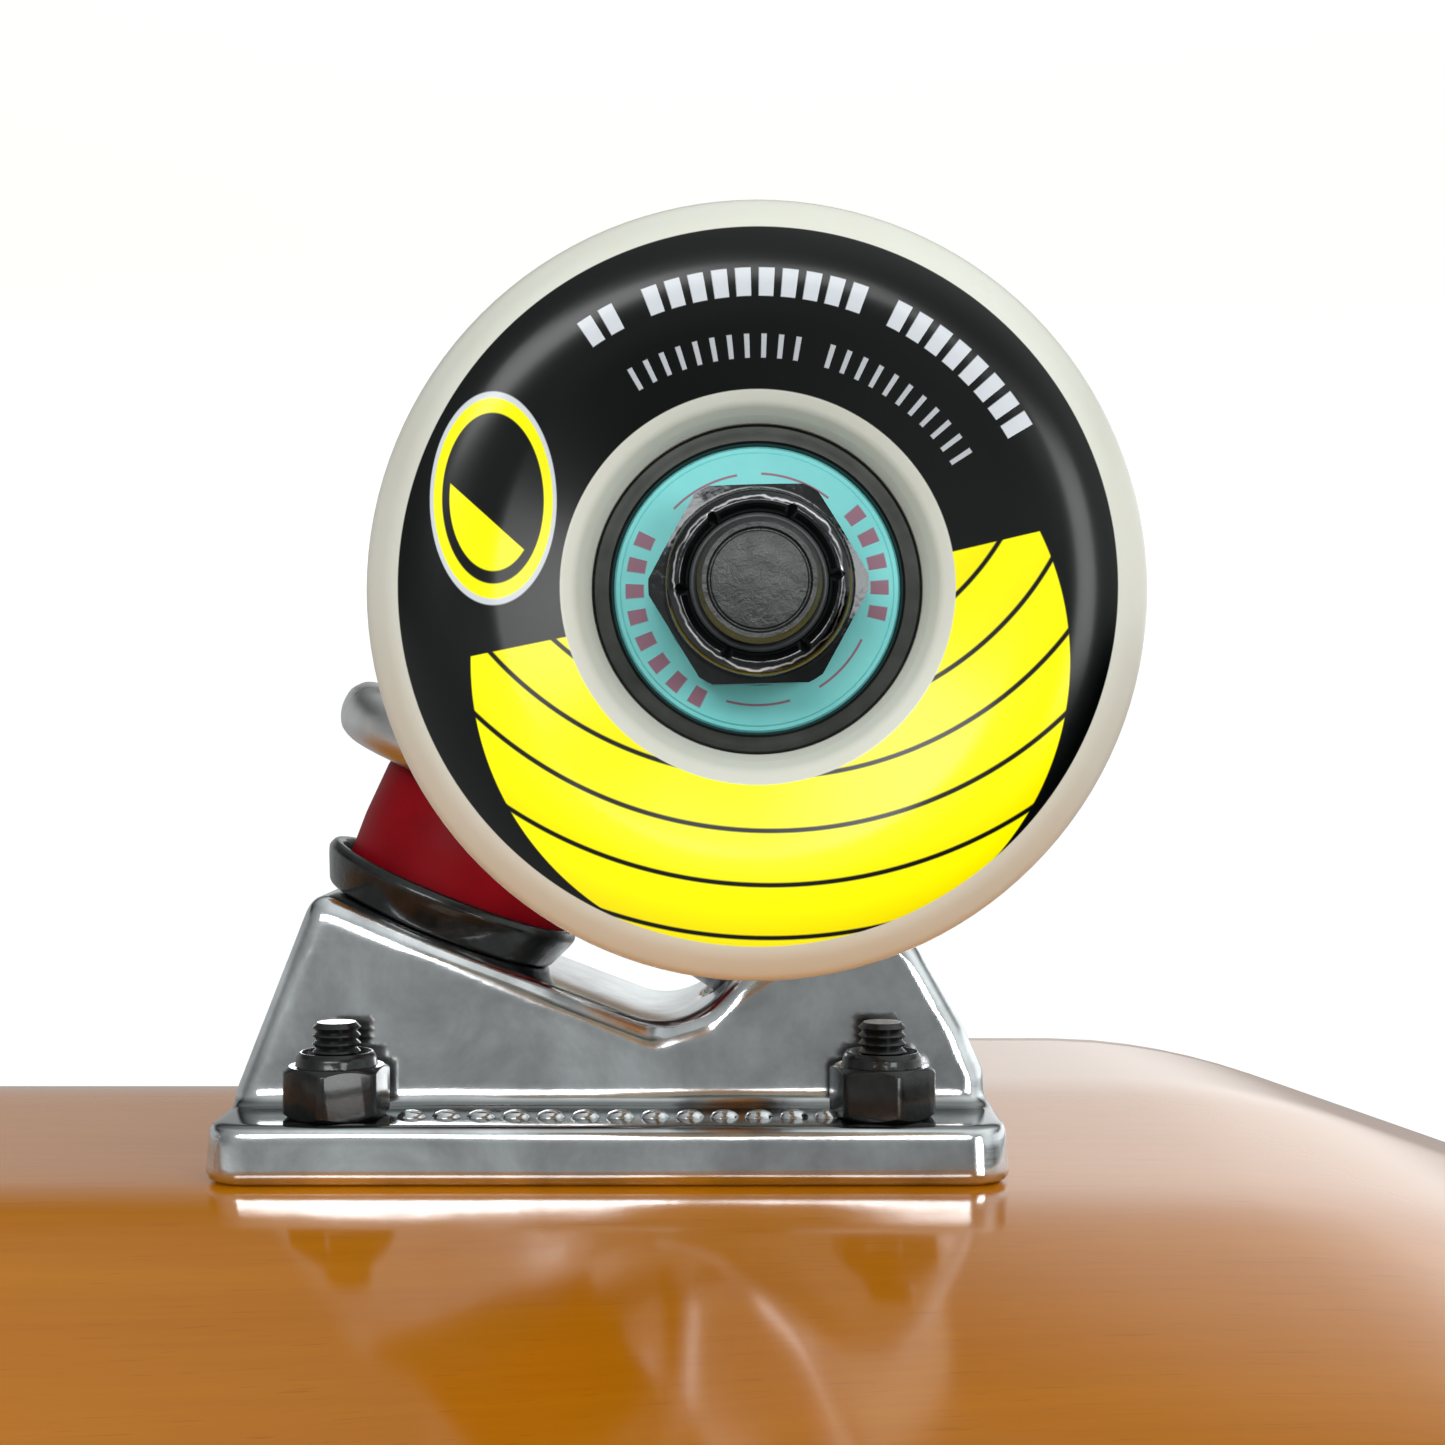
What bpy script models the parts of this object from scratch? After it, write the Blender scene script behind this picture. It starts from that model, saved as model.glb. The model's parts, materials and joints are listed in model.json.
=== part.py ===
"""A complete popsicle skateboard, standing on its wheels: +X is the nose, +Y its left side, +Z up.

The origin is on the ground, under the middle of the deck's length. Each truck is built in its own frame, at
the centre of its baseplate on the deck's underside: +X outboard, -Z towards the ground, so "drop" below is a
distance under the deck. The rear truck is the same truck turned half round.
"""

import math

import bmesh
import bpy
import numpy as np
from mathutils import Matrix, Vector

MM = 0.001
GAP = 0.3 * MM

# Wheels and bearings
WHEEL_RADIUS = 26.5 * MM
WHEEL_HALF_WIDTH = 16.0 * MM
TREAD_HALF_WIDTH = 9.5 * MM
SHOULDER_RADIUS = 23.6 * MM
SHOULDER_HALF_WIDTH = 15.2 * MM
FACE_RADIUS = 20.0 * MM
HUB_LIP_RADIUS = 13.2 * MM
HUB_LIP_HALF_WIDTH = 12.6 * MM
HUB_RIB_RADIUS = 8.5 * MM
BEARING_RADIUS = 11.0 * MM
BEARING_WIDTH = 7.0 * MM
RACE_INNER_RADIUS = 9.3 * MM
SHIELD_BORE = 6.35 * MM
SHIELD_THICKNESS = 0.8 * MM
INNER_RACE_RADIUS = 6.0 * MM
SPACER_LENGTH = 10.0 * MM
SPACER_RADIUS = 5.2 * MM
SPEED_WASHER_RADIUS = 5.6 * MM
SPEED_WASHER_THICKNESS = 0.8 * MM

# Axle
AXLE_RADIUS = 3.97 * MM
AXLE_HALF_LENGTH = 101.6 * MM
AXLE_CHAMFER = 0.8 * MM
AXLE_NUT_FLATS = 12.7 * MM
AXLE_NUT_HEX_HEIGHT = 5.0 * MM
AXLE_NUT_HEIGHT = 6.7 * MM
AXLE_NUT_CROWN_RADIUS = 5.9 * MM
WHEEL_CENTRE_Y = 79.5 * MM
HANGER_HALF_WIDTH = 66.7 * MM
HOUSING_RADIUS = 10.0 * MM
HOUSING_END_RADIUS = 8.0 * MM

# Truck: drops are measured from the deck's underside
AXLE_DROP = 53.5 * MM
AXLE_OFFSET = 13.5 * MM
RING_OFFSET = -12.4 * MM
RING_DROP = 39.0 * MM
KINGPIN_LEAN = math.radians(22)
PIVOT_FALL = math.radians(34)
RING_RADIUS = 17.0 * MM
RING_HALF_THICKNESS = 4.15 * MM
RING_BORE = 6.6 * MM
KINGPIN_RADIUS = 4.76 * MM
KINGPIN_HEAD_FLATS = 15.9 * MM
KINGPIN_NUT_FLATS = 14.3 * MM
KINGPIN_NUT_HEX_HEIGHT = 6.5 * MM
KINGPIN_NUT_COLLAR_RADIUS = 6.4 * MM
WEB_HALF_THICKNESS = 10.0 * MM
WEB_ROUNDING = 1.5 * MM

# Places along the kingpin, from the ring's centre towards the ground
TOWER_TOP = -17.5 * MM
WASHER_THICKNESS = 1.5 * MM
WASHER_LIP = 2.0 * MM
WASHER_LIP_THICKNESS = 1.1 * MM
WASHER_RADIUS = 13.3 * MM
BUSHING_RADIUS = 11.6 * MM
TOP_BUSHING_HEIGHT = 11.0 * MM
TOP_BUSHING_SMALL_RADIUS = 9.0 * MM
TOP_WASHER_RADIUS = 11.0 * MM
TOP_WASHER_LIP = 1.0 * MM
BUSHING_EDGE = 0.8 * MM
KINGPIN_NUT_HEIGHT = 8.0 * MM
KINGPIN_HEAD_SEAT = -32.5 * MM
KINGPIN_HEAD_HEIGHT = 5.0 * MM
KINGPIN_END = 27.5 * MM

# Places along the pivot axis, from the ring's centre towards the deck
CUP_MOUTH = 37.0 * MM
CUP_END = 47.5 * MM
CUP_MOUTH_RADIUS = 7.2 * MM
CUP_END_RADIUS = 5.3 * MM
CUP_WALL = 1.1 * MM
NECK_RADIUS = 6.6 * MM
NECK_START = 14.0 * MM
NECK_ROOM = 1.2 * MM
STUB_CLEARANCE = 0.4 * MM

# Baseplate
PLATE_LENGTH = 78.4 * MM
PLATE_WIDTH = 55.0 * MM
PLATE_DROP = 5.75 * MM
PLATE_CORNER = 5.0 * MM
PLATE_EDGE = 1.0 * MM
BODY_HALF_WIDTH = 14.5 * MM
PIVOT_TOWER_HALF_WIDTH = 11.5 * MM
TOWER_TOP_INBOARD = -12.2 * MM
TOWER_TOP_OUTBOARD = 12.0 * MM
TOWER_EDGE = 1.2 * MM
KINGPIN_HEAD_ROOM = 9.8 * MM
HOLE_SPACING_X = 53.98 * MM
HOLE_SPACING_Y = 41.28 * MM

# Mounting hardware
BOLT_RADIUS = 2.38 * MM
BOLT_HEAD_RADIUS = 4.6 * MM
BOLT_HEAD_HEIGHT = 2.7 * MM
BOLT_END_DROP = 15.0 * MM
MOUNT_NUT_FLATS = 9.5 * MM
MOUNT_NUT_HEX_HEIGHT = 5.2 * MM
MOUNT_NUT_HEIGHT = 6.4 * MM
MOUNT_NUT_COLLAR_RADIUS = 4.1 * MM
HOLE_RADIUS = 2.75 * MM
DECK_HOLE_RADIUS = 2.95 * MM
HEAD_ROOM = 0.6 * MM
HEAD_RIM = 0.5 * MM

# Deck
DECK_HALF_WIDTH = 101.6 * MM
DECK_THICKNESS = 11.0 * MM
GRIP_THICKNESS = 0.8 * MM
GRIP_INSET = 3.5 * MM
RAIL_ROUNDING = 3.5 * MM
TRUCK_SPACING = 208.0 * MM
NOSE_REACH = 195.0 * MM
TAIL_REACH = 183.0 * MM
ROUND_END = 125.0 * MM
CONCAVE_FLAT = 24.0 * MM
CONCAVE_BLEND = 16.0 * MM
CONCAVE_SLOPE = math.tan(math.radians(9.6))
CONCAVE_AT_KICK = 0.32
CONCAVE_FADE = 50.0 * MM
ARCH_HALF_LENGTH = 158.0 * MM
ARCH_RISE = 0.1 * MM
KICK_START = 60.0 * MM
KICK_BEND = 32.0 * MM
KICK_SLOPE = 0.345

# Worked out from the sizes above
DECK_HEIGHT = AXLE_DROP + WHEEL_RADIUS
BOARD_CENTRE_X = (TAIL_REACH - NOSE_REACH) / 2
BEARING_OFFSET = (SPACER_LENGTH + BEARING_WIDTH) / 2
STACK_HALF_LENGTH = BEARING_OFFSET + BEARING_WIDTH / 2 + SPEED_WASHER_THICKNESS
KINGPIN_AXIS = Vector((math.sin(KINGPIN_LEAN), 0, -math.cos(KINGPIN_LEAN)))
PIVOT_AXIS = Vector((math.cos(PIVOT_FALL), 0, math.sin(PIVOT_FALL)))
RING_CENTRE = Vector((RING_OFFSET, 0, -RING_DROP))
AXLE_CENTRE = Vector((AXLE_OFFSET, 0, -AXLE_DROP))
ALONG_KINGPIN = (0, math.pi - KINGPIN_LEAN, 0)
ALONG_PIVOT = (0, math.pi / 2 - PIVOT_FALL, 0)


# Blender helpers

def clear_scene():
    for obj in list(bpy.data.objects):
        bpy.data.objects.remove(obj, do_unlink=True)


def new_collection(name):
    home = bpy.data.collections.new(name)
    bpy.context.scene.collection.children.link(home)
    return home


def new_material(name, colour, metallic, roughness):
    material = bpy.data.materials.new(name)
    material.use_nodes = True
    shader = material.node_tree.nodes["Principled BSDF"]
    shader.inputs["Base Color"].default_value = (*colour, 1)
    shader.inputs["Metallic"].default_value = metallic
    shader.inputs["Roughness"].default_value = roughness
    return material


def tool(mesh, location=(0, 0, 0), rotation=(0, 0, 0)):
    """A pattern, cutter or joining piece: a wire object that isn't part of the board."""
    obj = bpy.data.objects.new(mesh.name, mesh)
    obj.location = location
    obj.rotation_euler = rotation
    obj.hide_render = True
    obj.display_type = "WIRE"
    cutters.objects.link(obj)
    return obj


def turned(profile, steps, location=(0, 0, 0), rotation=(0, 0, 0)):
    """A solid turned about Z from (radius, height) points that run down its outer side."""
    mesh = bpy.data.meshes.new("profile")
    is_ring = all(radius > 0 for radius, _ in profile)
    count = len(profile)
    edges = [(i, (i + 1) % count) for i in range(count if is_ring else count - 1)]
    mesh.from_pydata([(radius, 0, height) for radius, height in profile], edges, [])
    obj = tool(mesh, location, rotation)
    screw = obj.modifiers.new("Screw", "SCREW")
    screw.steps = steps
    screw.render_steps = steps
    screw.use_merge_vertices = True
    screw.merge_threshold = 0.00001
    return obj


def prism(sides, radius, low, high, location=(0, 0, 0), rotation=(0, 0, 0), end_radius=None):
    """A prism, cylinder or cone about Z between two heights."""
    bm = bmesh.new()
    top_radius = radius if end_radius is None else end_radius
    middle = Matrix.Translation((0, 0, (low + high) / 2))
    bmesh.ops.create_cone(
        bm, cap_ends=True, segments=sides, radius1=radius, radius2=top_radius, depth=high - low, matrix=middle
    )
    mesh = bpy.data.meshes.new("prism")
    bm.to_mesh(mesh)
    bm.free()
    return tool(mesh, location, rotation)


def plate(outline, half_thickness, location=(0, 0, 0), rotation=(0, 0, 0), rounding=0.0):
    """A flat piece: a closed XY outline, thickened both ways along Z, its edges rounded."""
    curve = bpy.data.curves.new("outline", "CURVE")
    curve.dimensions = "2D"
    curve.fill_mode = "BOTH"
    curve.extrude = half_thickness
    spline = curve.splines.new("POLY")
    spline.points.add(len(outline) - 1)
    for point, (x, y) in zip(spline.points, outline):
        point.co = (x, y, 0, 1)
    spline.use_cyclic_u = True
    drawn = bpy.data.objects.new("outline", curve)
    cutters.objects.link(drawn)
    mesh = finished(drawn)
    bm = bmesh.new()
    bm.from_mesh(mesh)
    bmesh.ops.remove_doubles(bm, verts=bm.verts, dist=0.00001)
    bmesh.ops.recalc_face_normals(bm, faces=bm.faces)
    bm.to_mesh(mesh)
    bm.free()
    obj = tool(mesh, location, rotation)
    if rounding:
        add_bevel(obj, rounding, 1)
    return obj


def add_bevel(obj, width, segments):
    bevel = obj.modifiers.new("Rounding", "BEVEL")
    bevel.width = width
    bevel.segments = segments
    bevel.limit_method = "ANGLE"
    bevel.angle_limit = math.radians(50)


def combine(obj, others, operation):
    """Joins the others to obj ("UNION") or cuts them from it ("DIFFERENCE")."""
    for other in others:
        boolean = obj.modifiers.new(operation.title(), "BOOLEAN")
        boolean.operation = operation
        boolean.object = other
        boolean.solver = "EXACT"
    return obj


def finished(obj):
    """The object's evaluated mesh, where it stands; the pattern and its cutters are removed."""
    bpy.context.view_layer.update()
    graph = bpy.context.evaluated_depsgraph_get()
    mesh = bpy.data.meshes.new_from_object(obj.evaluated_get(graph))
    mesh.transform(obj.matrix_world)
    used = [modifier.object for modifier in obj.modifiers if modifier.type == "BOOLEAN"]
    for old in [obj, *used]:
        bpy.data.objects.remove(old, do_unlink=True)
    mesh.shade_smooth()
    mesh.set_sharp_from_angle(angle=math.radians(35))
    return mesh


def place(name, mesh, material, parent, location=(0, 0, 0), rotation=(0, 0, 0)):
    obj = bpy.data.objects.new(name, mesh)
    obj.location = location
    obj.rotation_euler = rotation
    obj.parent = parent
    if not mesh.materials:
        mesh.materials.append(material)
    board.objects.link(obj)
    return obj


def frame_at(name, location, turn=0.0, parent=None):
    empty = bpy.data.objects.new(name, None)
    empty.location = location
    empty.rotation_euler = (0, 0, turn)
    empty.parent = parent
    board.objects.link(empty)
    return empty


# Wheels and what turns in them

def wheel_mesh():
    """The urethane wheel about Z, with a bearing seat from each side and a rib between them."""
    seat_floor = SPACER_LENGTH / 2 - GAP
    outer = [
        (BEARING_RADIUS + GAP, HUB_LIP_HALF_WIDTH),
        (HUB_LIP_RADIUS, HUB_LIP_HALF_WIDTH),
        (FACE_RADIUS, WHEEL_HALF_WIDTH),
        (SHOULDER_RADIUS, SHOULDER_HALF_WIDTH),
        (WHEEL_RADIUS, TREAD_HALF_WIDTH),
    ]
    inner = [(BEARING_RADIUS + GAP, seat_floor), (HUB_RIB_RADIUS, seat_floor)]
    return finished(turned(mirrored_down(outer) + mirrored_up(inner), 24))


def mirrored_down(points):
    """Points of an outer side's upper half, followed by the same ones below."""
    return points + [(radius, -height) for radius, height in reversed(points)]


def mirrored_up(points):
    """An inner side from bottom to top, from the points of its upper half."""
    lower = [(radius, -height) for radius, height in points]
    return lower + list(reversed(points))


def bearing_mesh():
    """An outer race with a shield in each face."""
    face = BEARING_WIDTH / 2
    shield = face - SHIELD_THICKNESS
    inner = [(SHIELD_BORE, face), (SHIELD_BORE, shield), (RACE_INNER_RADIUS, shield)]
    return finished(turned(mirrored_down([(BEARING_RADIUS, face)]) + mirrored_up(inner), 16))


def stack_mesh():
    """What the axle nut clamps: washer, inner race, spacer, inner race, washer."""
    spacer_end = SPACER_LENGTH / 2
    race_end = spacer_end + BEARING_WIDTH
    outer = [
        (SPEED_WASHER_RADIUS, STACK_HALF_LENGTH),
        (SPEED_WASHER_RADIUS, race_end),
        (INNER_RACE_RADIUS, race_end),
        (INNER_RACE_RADIUS, spacer_end),
        (SPACER_RADIUS, spacer_end),
    ]
    inner = [(AXLE_RADIUS + GAP, STACK_HALF_LENGTH)]
    return finished(turned(mirrored_down(outer) + mirrored_up(inner), 12))


def nut_mesh(flats, hex_height, height, collar_radius, bore):
    """A lock nut standing on its base at Z = 0, its round collar on top."""
    body = prism(6, flats / 2 / math.cos(math.radians(30)), 0, hex_height)
    collar = prism(10, collar_radius, hex_height / 2, height)
    hole = prism(10, bore, -height, 2 * height)
    return finished(combine(combine(body, [collar], "UNION"), [hole], "DIFFERENCE"))


def axle_mesh():
    profile = [
        (0, AXLE_HALF_LENGTH),
        (AXLE_RADIUS - AXLE_CHAMFER, AXLE_HALF_LENGTH),
        (AXLE_RADIUS, AXLE_HALF_LENGTH - AXLE_CHAMFER),
        (AXLE_RADIUS, -AXLE_HALF_LENGTH + AXLE_CHAMFER),
        (AXLE_RADIUS - AXLE_CHAMFER, -AXLE_HALF_LENGTH),
        (0, -AXLE_HALF_LENGTH),
    ]
    return finished(turned(profile, 20))


# The truck

def in_truck(along, axis, side=0.0):
    """A point "along" an axis from the ring's centre, and "side" off it, outboard."""
    across = Vector((0, 1, 0)).cross(axis)
    across *= math.copysign(1, across.x)
    return RING_CENTRE + axis * along + across * side


def side_point(point):
    """The (X, Z) of a point, for an outline that is drawn flat and stood up with +Y away from it."""
    return (point.x, point.z)


def upright_plate(outline, half_thickness, rounding=0.0):
    """An outline of (offset, height) points in the truck's middle plane, thickened both ways along Y."""
    return plate(outline, half_thickness, rotation=(math.pi / 2, 0, 0), rounding=rounding)


def rounded_rectangle(length, width, radius):
    corners = [(1, 1), (-1, 1), (-1, -1), (1, -1)]
    points = []
    for quarter, (side_x, side_y) in enumerate(corners):
        for step in range(4):
            angle = math.radians(90 * quarter + 30 * step)
            x = side_x * (length / 2 - radius) + radius * math.cos(angle)
            y = side_y * (width / 2 - radius) + radius * math.sin(angle)
            points.append((x, y))
    return points


def mounting_holes():
    for side_x in (-1, 1):
        for side_y in (-1, 1):
            yield side_x * HOLE_SPACING_X / 2, side_y * HOLE_SPACING_Y / 2


def baseplate_mesh():
    """A flat plate that carries the leaning kingpin tower (inboard) and the pivot tower (outboard)."""
    middle = -(GAP + PLATE_DROP) / 2
    base = plate(
        rounded_rectangle(PLATE_LENGTH, PLATE_WIDTH, PLATE_CORNER),
        (PLATE_DROP - GAP) / 2,
        location=(0, 0, middle),
        rounding=PLATE_EDGE,
    )
    foot = -(PLATE_DROP - 2 * MM)
    tower_outline = [
        (-PLATE_LENGTH / 2 + PLATE_EDGE, foot),
        side_point(in_truck(TOWER_TOP, KINGPIN_AXIS, TOWER_TOP_INBOARD)),
        side_point(in_truck(TOWER_TOP, KINGPIN_AXIS, TOWER_TOP_OUTBOARD)),
        (4.4 * MM, -13.3 * MM),
        (10.0 * MM, -16.8 * MM),
        (12.0 * MM, foot),
    ]
    kingpin_tower = upright_plate(tower_outline, BODY_HALF_WIDTH, TOWER_EDGE)
    pivot_foot = foot + 0.7 * MM
    pivot_outline = [
        (7.0 * MM, pivot_foot),
        (7.0 * MM, -12.0 * MM),
        (12.5 * MM, -17.2 * MM),
        (17.0 * MM, -17.7 * MM),
        side_point(in_truck(CUP_MOUTH, PIVOT_AXIS, 9.2 * MM)),
        (27.0 * MM, -25.4 * MM),
        (30.4 * MM, -21.1 * MM),
        (38.0 * MM, pivot_foot),
    ]
    pivot_tower = upright_plate(pivot_outline, PIVOT_TOWER_HALF_WIDTH, TOWER_EDGE)
    body = combine(base, [kingpin_tower, pivot_tower], "UNION")
    cuts = [
        prism(20, KINGPIN_RADIUS + 2 * GAP, KINGPIN_HEAD_SEAT - 2 * MM, 0, RING_CENTRE, ALONG_KINGPIN),
        prism(20, KINGPIN_HEAD_ROOM, 2 * KINGPIN_HEAD_SEAT, KINGPIN_HEAD_SEAT + GAP, RING_CENTRE,
              ALONG_KINGPIN),
        cup_cavity(),
    ]
    for x, y in mounting_holes():
        cuts.append(prism(12, HOLE_RADIUS, -2 * PLATE_DROP, PLATE_DROP, location=(x, y, 0)))
    return finished(combine(body, cuts, "DIFFERENCE"))


def cup_cavity():
    """The pivot cup's seat in the baseplate, with room for the hanger's neck in front of it."""
    profile = [
        (0, CUP_END + GAP),
        (CUP_END_RADIUS + GAP, CUP_END + GAP),
        (CUP_MOUTH_RADIUS + GAP, CUP_MOUTH - GAP),
        (NECK_RADIUS + NECK_ROOM, CUP_MOUTH - 2 * GAP),
        (NECK_RADIUS + NECK_ROOM, CUP_MOUTH / 2),
        (0, CUP_MOUTH / 2),
    ]
    return turned(profile, 20, RING_CENTRE, ALONG_PIVOT)


def pivot_cup_mesh():
    """A tapered cup about Z, its mouth down at the ring's side."""
    floor = CUP_END - CUP_WALL
    profile = [
        (0, CUP_END),
        (CUP_END_RADIUS, CUP_END),
        (CUP_MOUTH_RADIUS, CUP_MOUTH),
        (CUP_MOUTH_RADIUS - CUP_WALL, CUP_MOUTH),
        (CUP_END_RADIUS - CUP_WALL, floor),
        (0, floor),
    ]
    return finished(turned(profile, 20))


def hanger_mesh():
    """Ring, web, tapered axle housing and pivot stub in one casting, its frame at the ring's centre."""
    axle = AXLE_CENTRE - RING_CENTRE
    ring = prism(32, RING_RADIUS, -RING_HALF_THICKNESS, RING_HALF_THICKNESS, rotation=ALONG_KINGPIN)
    wings = [
        prism(16, HOUSING_RADIUS, 0, HANGER_HALF_WIDTH, axle, (side * math.pi / 2, 0, 0), HOUSING_END_RADIUS)
        for side in (-1, 1)
    ]
    outline = []
    for along, axis, side in (
        (4.0, KINGPIN_AXIS, 13.6),
        (15.0, KINGPIN_AXIS, 12.7),
        (24.0, KINGPIN_AXIS, 10.6),
        (29.5, KINGPIN_AXIS, 15.0),
        (30.5, KINGPIN_AXIS, 22.0),
        (26.0, KINGPIN_AXIS, 27.5),
        (32.0, PIVOT_AXIS, 6.2),
        (32.0, PIVOT_AXIS, -2.0),
        (25.0, PIVOT_AXIS, -6.2),
        (-4.0, KINGPIN_AXIS, 16.0),
        (-4.0, KINGPIN_AXIS, 11.0),
        (4.0, KINGPIN_AXIS, 11.0),
    ):
        outline.append(side_point(in_truck(along * MM, axis, side * MM) - RING_CENTRE))
    web = upright_plate(outline, WEB_HALF_THICKNESS, WEB_ROUNDING)
    stub_gap = CUP_WALL + STUB_CLEARANCE
    stub_end = CUP_END - stub_gap
    stub_profile = [
        (0, stub_end),
        (CUP_END_RADIUS - stub_gap, stub_end),
        (CUP_MOUTH_RADIUS - stub_gap, CUP_MOUTH - STUB_CLEARANCE),
        (NECK_RADIUS, CUP_MOUTH - NECK_RADIUS / 3),
        (NECK_RADIUS, NECK_START),
        (0, NECK_START),
    ]
    stub = turned(stub_profile, 20, rotation=ALONG_PIVOT)
    solid = combine(web, [ring, *wings, stub], "UNION")
    bore = prism(24, RING_BORE, -RING_RADIUS, RING_RADIUS, rotation=ALONG_KINGPIN)
    reach = AXLE_HALF_LENGTH
    axle_hole = prism(20, AXLE_RADIUS + GAP, -reach, reach, axle, (math.pi / 2, 0, 0))
    return finished(combine(solid, [bore, axle_hole], "DIFFERENCE"))


def washer_mesh(radius, lip):
    """A cupped washer about Z, standing on Z = 0 with its lip up."""
    bore = KINGPIN_RADIUS + GAP
    lip_inner = radius - WASHER_LIP_THICKNESS
    round_off = WASHER_LIP_THICKNESS / 2
    profile = [
        (lip_inner, WASHER_THICKNESS + lip),
        (radius, WASHER_THICKNESS + lip),
        (radius, round_off),
        (radius - round_off, 0),
        (bore, 0),
        (bore, WASHER_THICKNESS),
        (lip_inner, WASHER_THICKNESS),
    ]
    return finished(turned(profile, 16))


def bushing_mesh(low_radius, high_radius, height):
    bore = KINGPIN_RADIUS + GAP
    profile = [
        (high_radius - BUSHING_EDGE, height),
        (high_radius, height - BUSHING_EDGE),
        (low_radius, BUSHING_EDGE),
        (low_radius - BUSHING_EDGE, 0),
        (bore, 0),
        (bore, height),
    ]
    return finished(turned(profile, 16))


def kingpin_mesh():
    """A hex-headed bolt along Z, its frame at the ring's centre."""
    head_radius = KINGPIN_HEAD_FLATS / 2 / math.cos(math.radians(30))
    head = prism(6, head_radius, KINGPIN_HEAD_SEAT - KINGPIN_HEAD_HEIGHT, KINGPIN_HEAD_SEAT)
    shank = prism(16, KINGPIN_RADIUS, KINGPIN_HEAD_SEAT - 1 * MM, KINGPIN_END)
    return finished(combine(head, [shank], "UNION"))


# Deck, grip and hardware

def smooth_step(value):
    value = min(max(value, 0.0), 1.0)
    return value * value * (3 - 2 * value)


def deck_rise(x, y):
    """How far the deck's underside rises above its seats for the trucks, x from midway between them."""
    outboard = abs(x) - TRUCK_SPACING
    side = abs(y) - CONCAVE_FLAT
    if side <= 0:
        concave = 0.0
    elif side < CONCAVE_BLEND:
        concave = CONCAVE_SLOPE * side * side / (2 * CONCAVE_BLEND)
    else:
        concave = CONCAVE_SLOPE * (side - CONCAVE_BLEND / 2)
    fade = smooth_step((outboard + CONCAVE_FADE) / (2 * CONCAVE_FADE))
    concave *= 1 + (CONCAVE_AT_KICK - 1) * fade
    arch = ARCH_RISE * (1 - smooth_step(2 * abs(x) / ARCH_HALF_LENGTH - 1))
    past = outboard - KICK_START
    if past <= 0:
        kick = 0.0
    elif past < KICK_BEND:
        kick = KICK_SLOPE * past * past / (2 * KICK_BEND)
    else:
        kick = KICK_SLOPE * (past - KICK_BEND / 2)
    return concave + arch + kick


def deck_sheet(lift, inset):
    """The underside's surface as an open sheet, lifted along its normal and drawn in from the outline."""
    nose = TRUCK_SPACING + NOSE_REACH
    tail = TRUCK_SPACING + TAIL_REACH
    nose_start = nose - ROUND_END
    tail_start = tail - ROUND_END
    bend = TRUCK_SPACING + KICK_START - 8 * MM
    stations = np.concatenate([
        np.linspace(-tail, -tail_start, 7),
        np.linspace(-bend, -ARCH_HALF_LENGTH, 6),
        [-ARCH_HALF_LENGTH / 2, ARCH_HALF_LENGTH / 2],
        np.linspace(ARCH_HALF_LENGTH, bend, 6),
        np.linspace(nose_start, nose, 7),
    ])
    across = np.array([-1.0, -0.72, -0.42, -0.24, 0.0, 0.24, 0.42, 0.72, 1.0])
    bm = bmesh.new()
    bmesh.ops.create_grid(bm, x_segments=len(stations) - 1, y_segments=len(across) - 1, size=1)
    for vert in bm.verts:
        x = np.interp(vert.co.x, np.linspace(-1, 1, len(stations)), stations)
        v = np.interp(vert.co.y, np.linspace(-1, 1, len(across)), across)
        y = v * (DECK_HALF_WIDTH - inset)
        for end, start in ((1, nose_start), (-1, -tail_start)):
            reach = (end * (x - start)) / ROUND_END
            if reach > 1e-6:
                length = ROUND_END - inset
                x, y = (
                    start + end * length * reach * math.sqrt(1 - v * v / 2),
                    y * math.sqrt(1 - reach * reach / 2),
                )
        vert.co = deck_point(x, y, lift)
    mesh = bpy.data.meshes.new("sheet")
    bm.to_mesh(mesh)
    bm.free()
    return tool(mesh)


def deck_point(x, y, lift):
    step = 1 * MM
    slope_x = (deck_rise(x + step, y) - deck_rise(x - step, y)) / (2 * step)
    slope_y = (deck_rise(x, y + step) - deck_rise(x, y - step)) / (2 * step)
    normal = Vector((-slope_x, -slope_y, 1)).normalized()
    return Vector((BOARD_CENTRE_X + x, y, DECK_HEIGHT + deck_rise(x, y))) + normal * lift


def thicken(obj, thickness):
    solidify = obj.modifiers.new("Thickness", "SOLIDIFY")
    solidify.thickness = thickness
    solidify.offset = 1
    return obj


def bolt_places():
    """Where the bolts stand on the board's plan: (truck, number, x, y)."""
    for truck, side in (("front", 1), ("rear", -1)):
        for number, (x, y) in enumerate(mounting_holes(), 1):
            yield truck, number, BOARD_CENTRE_X + side * (TRUCK_SPACING + x), side * y


def deck_mesh():
    deck = thicken(deck_sheet(0, 0), DECK_THICKNESS)
    add_bevel(deck, RAIL_ROUNDING, 2)
    top = DECK_THICKNESS
    beyond = DECK_THICKNESS / 2
    profile = [
        (0, top + beyond),
        (BOLT_HEAD_RADIUS + HEAD_ROOM, top + beyond),
        (BOLT_HEAD_RADIUS + HEAD_ROOM, top),
        (DECK_HOLE_RADIUS, top - BOLT_HEAD_HEIGHT + GAP),
        (DECK_HOLE_RADIUS, -beyond),
        (0, -beyond),
    ]
    holes = [turned(profile, 8, (x, y, DECK_HEIGHT)) for _, _, x, y in bolt_places()]
    return finished(combine(deck, holes, "DIFFERENCE"))


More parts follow.
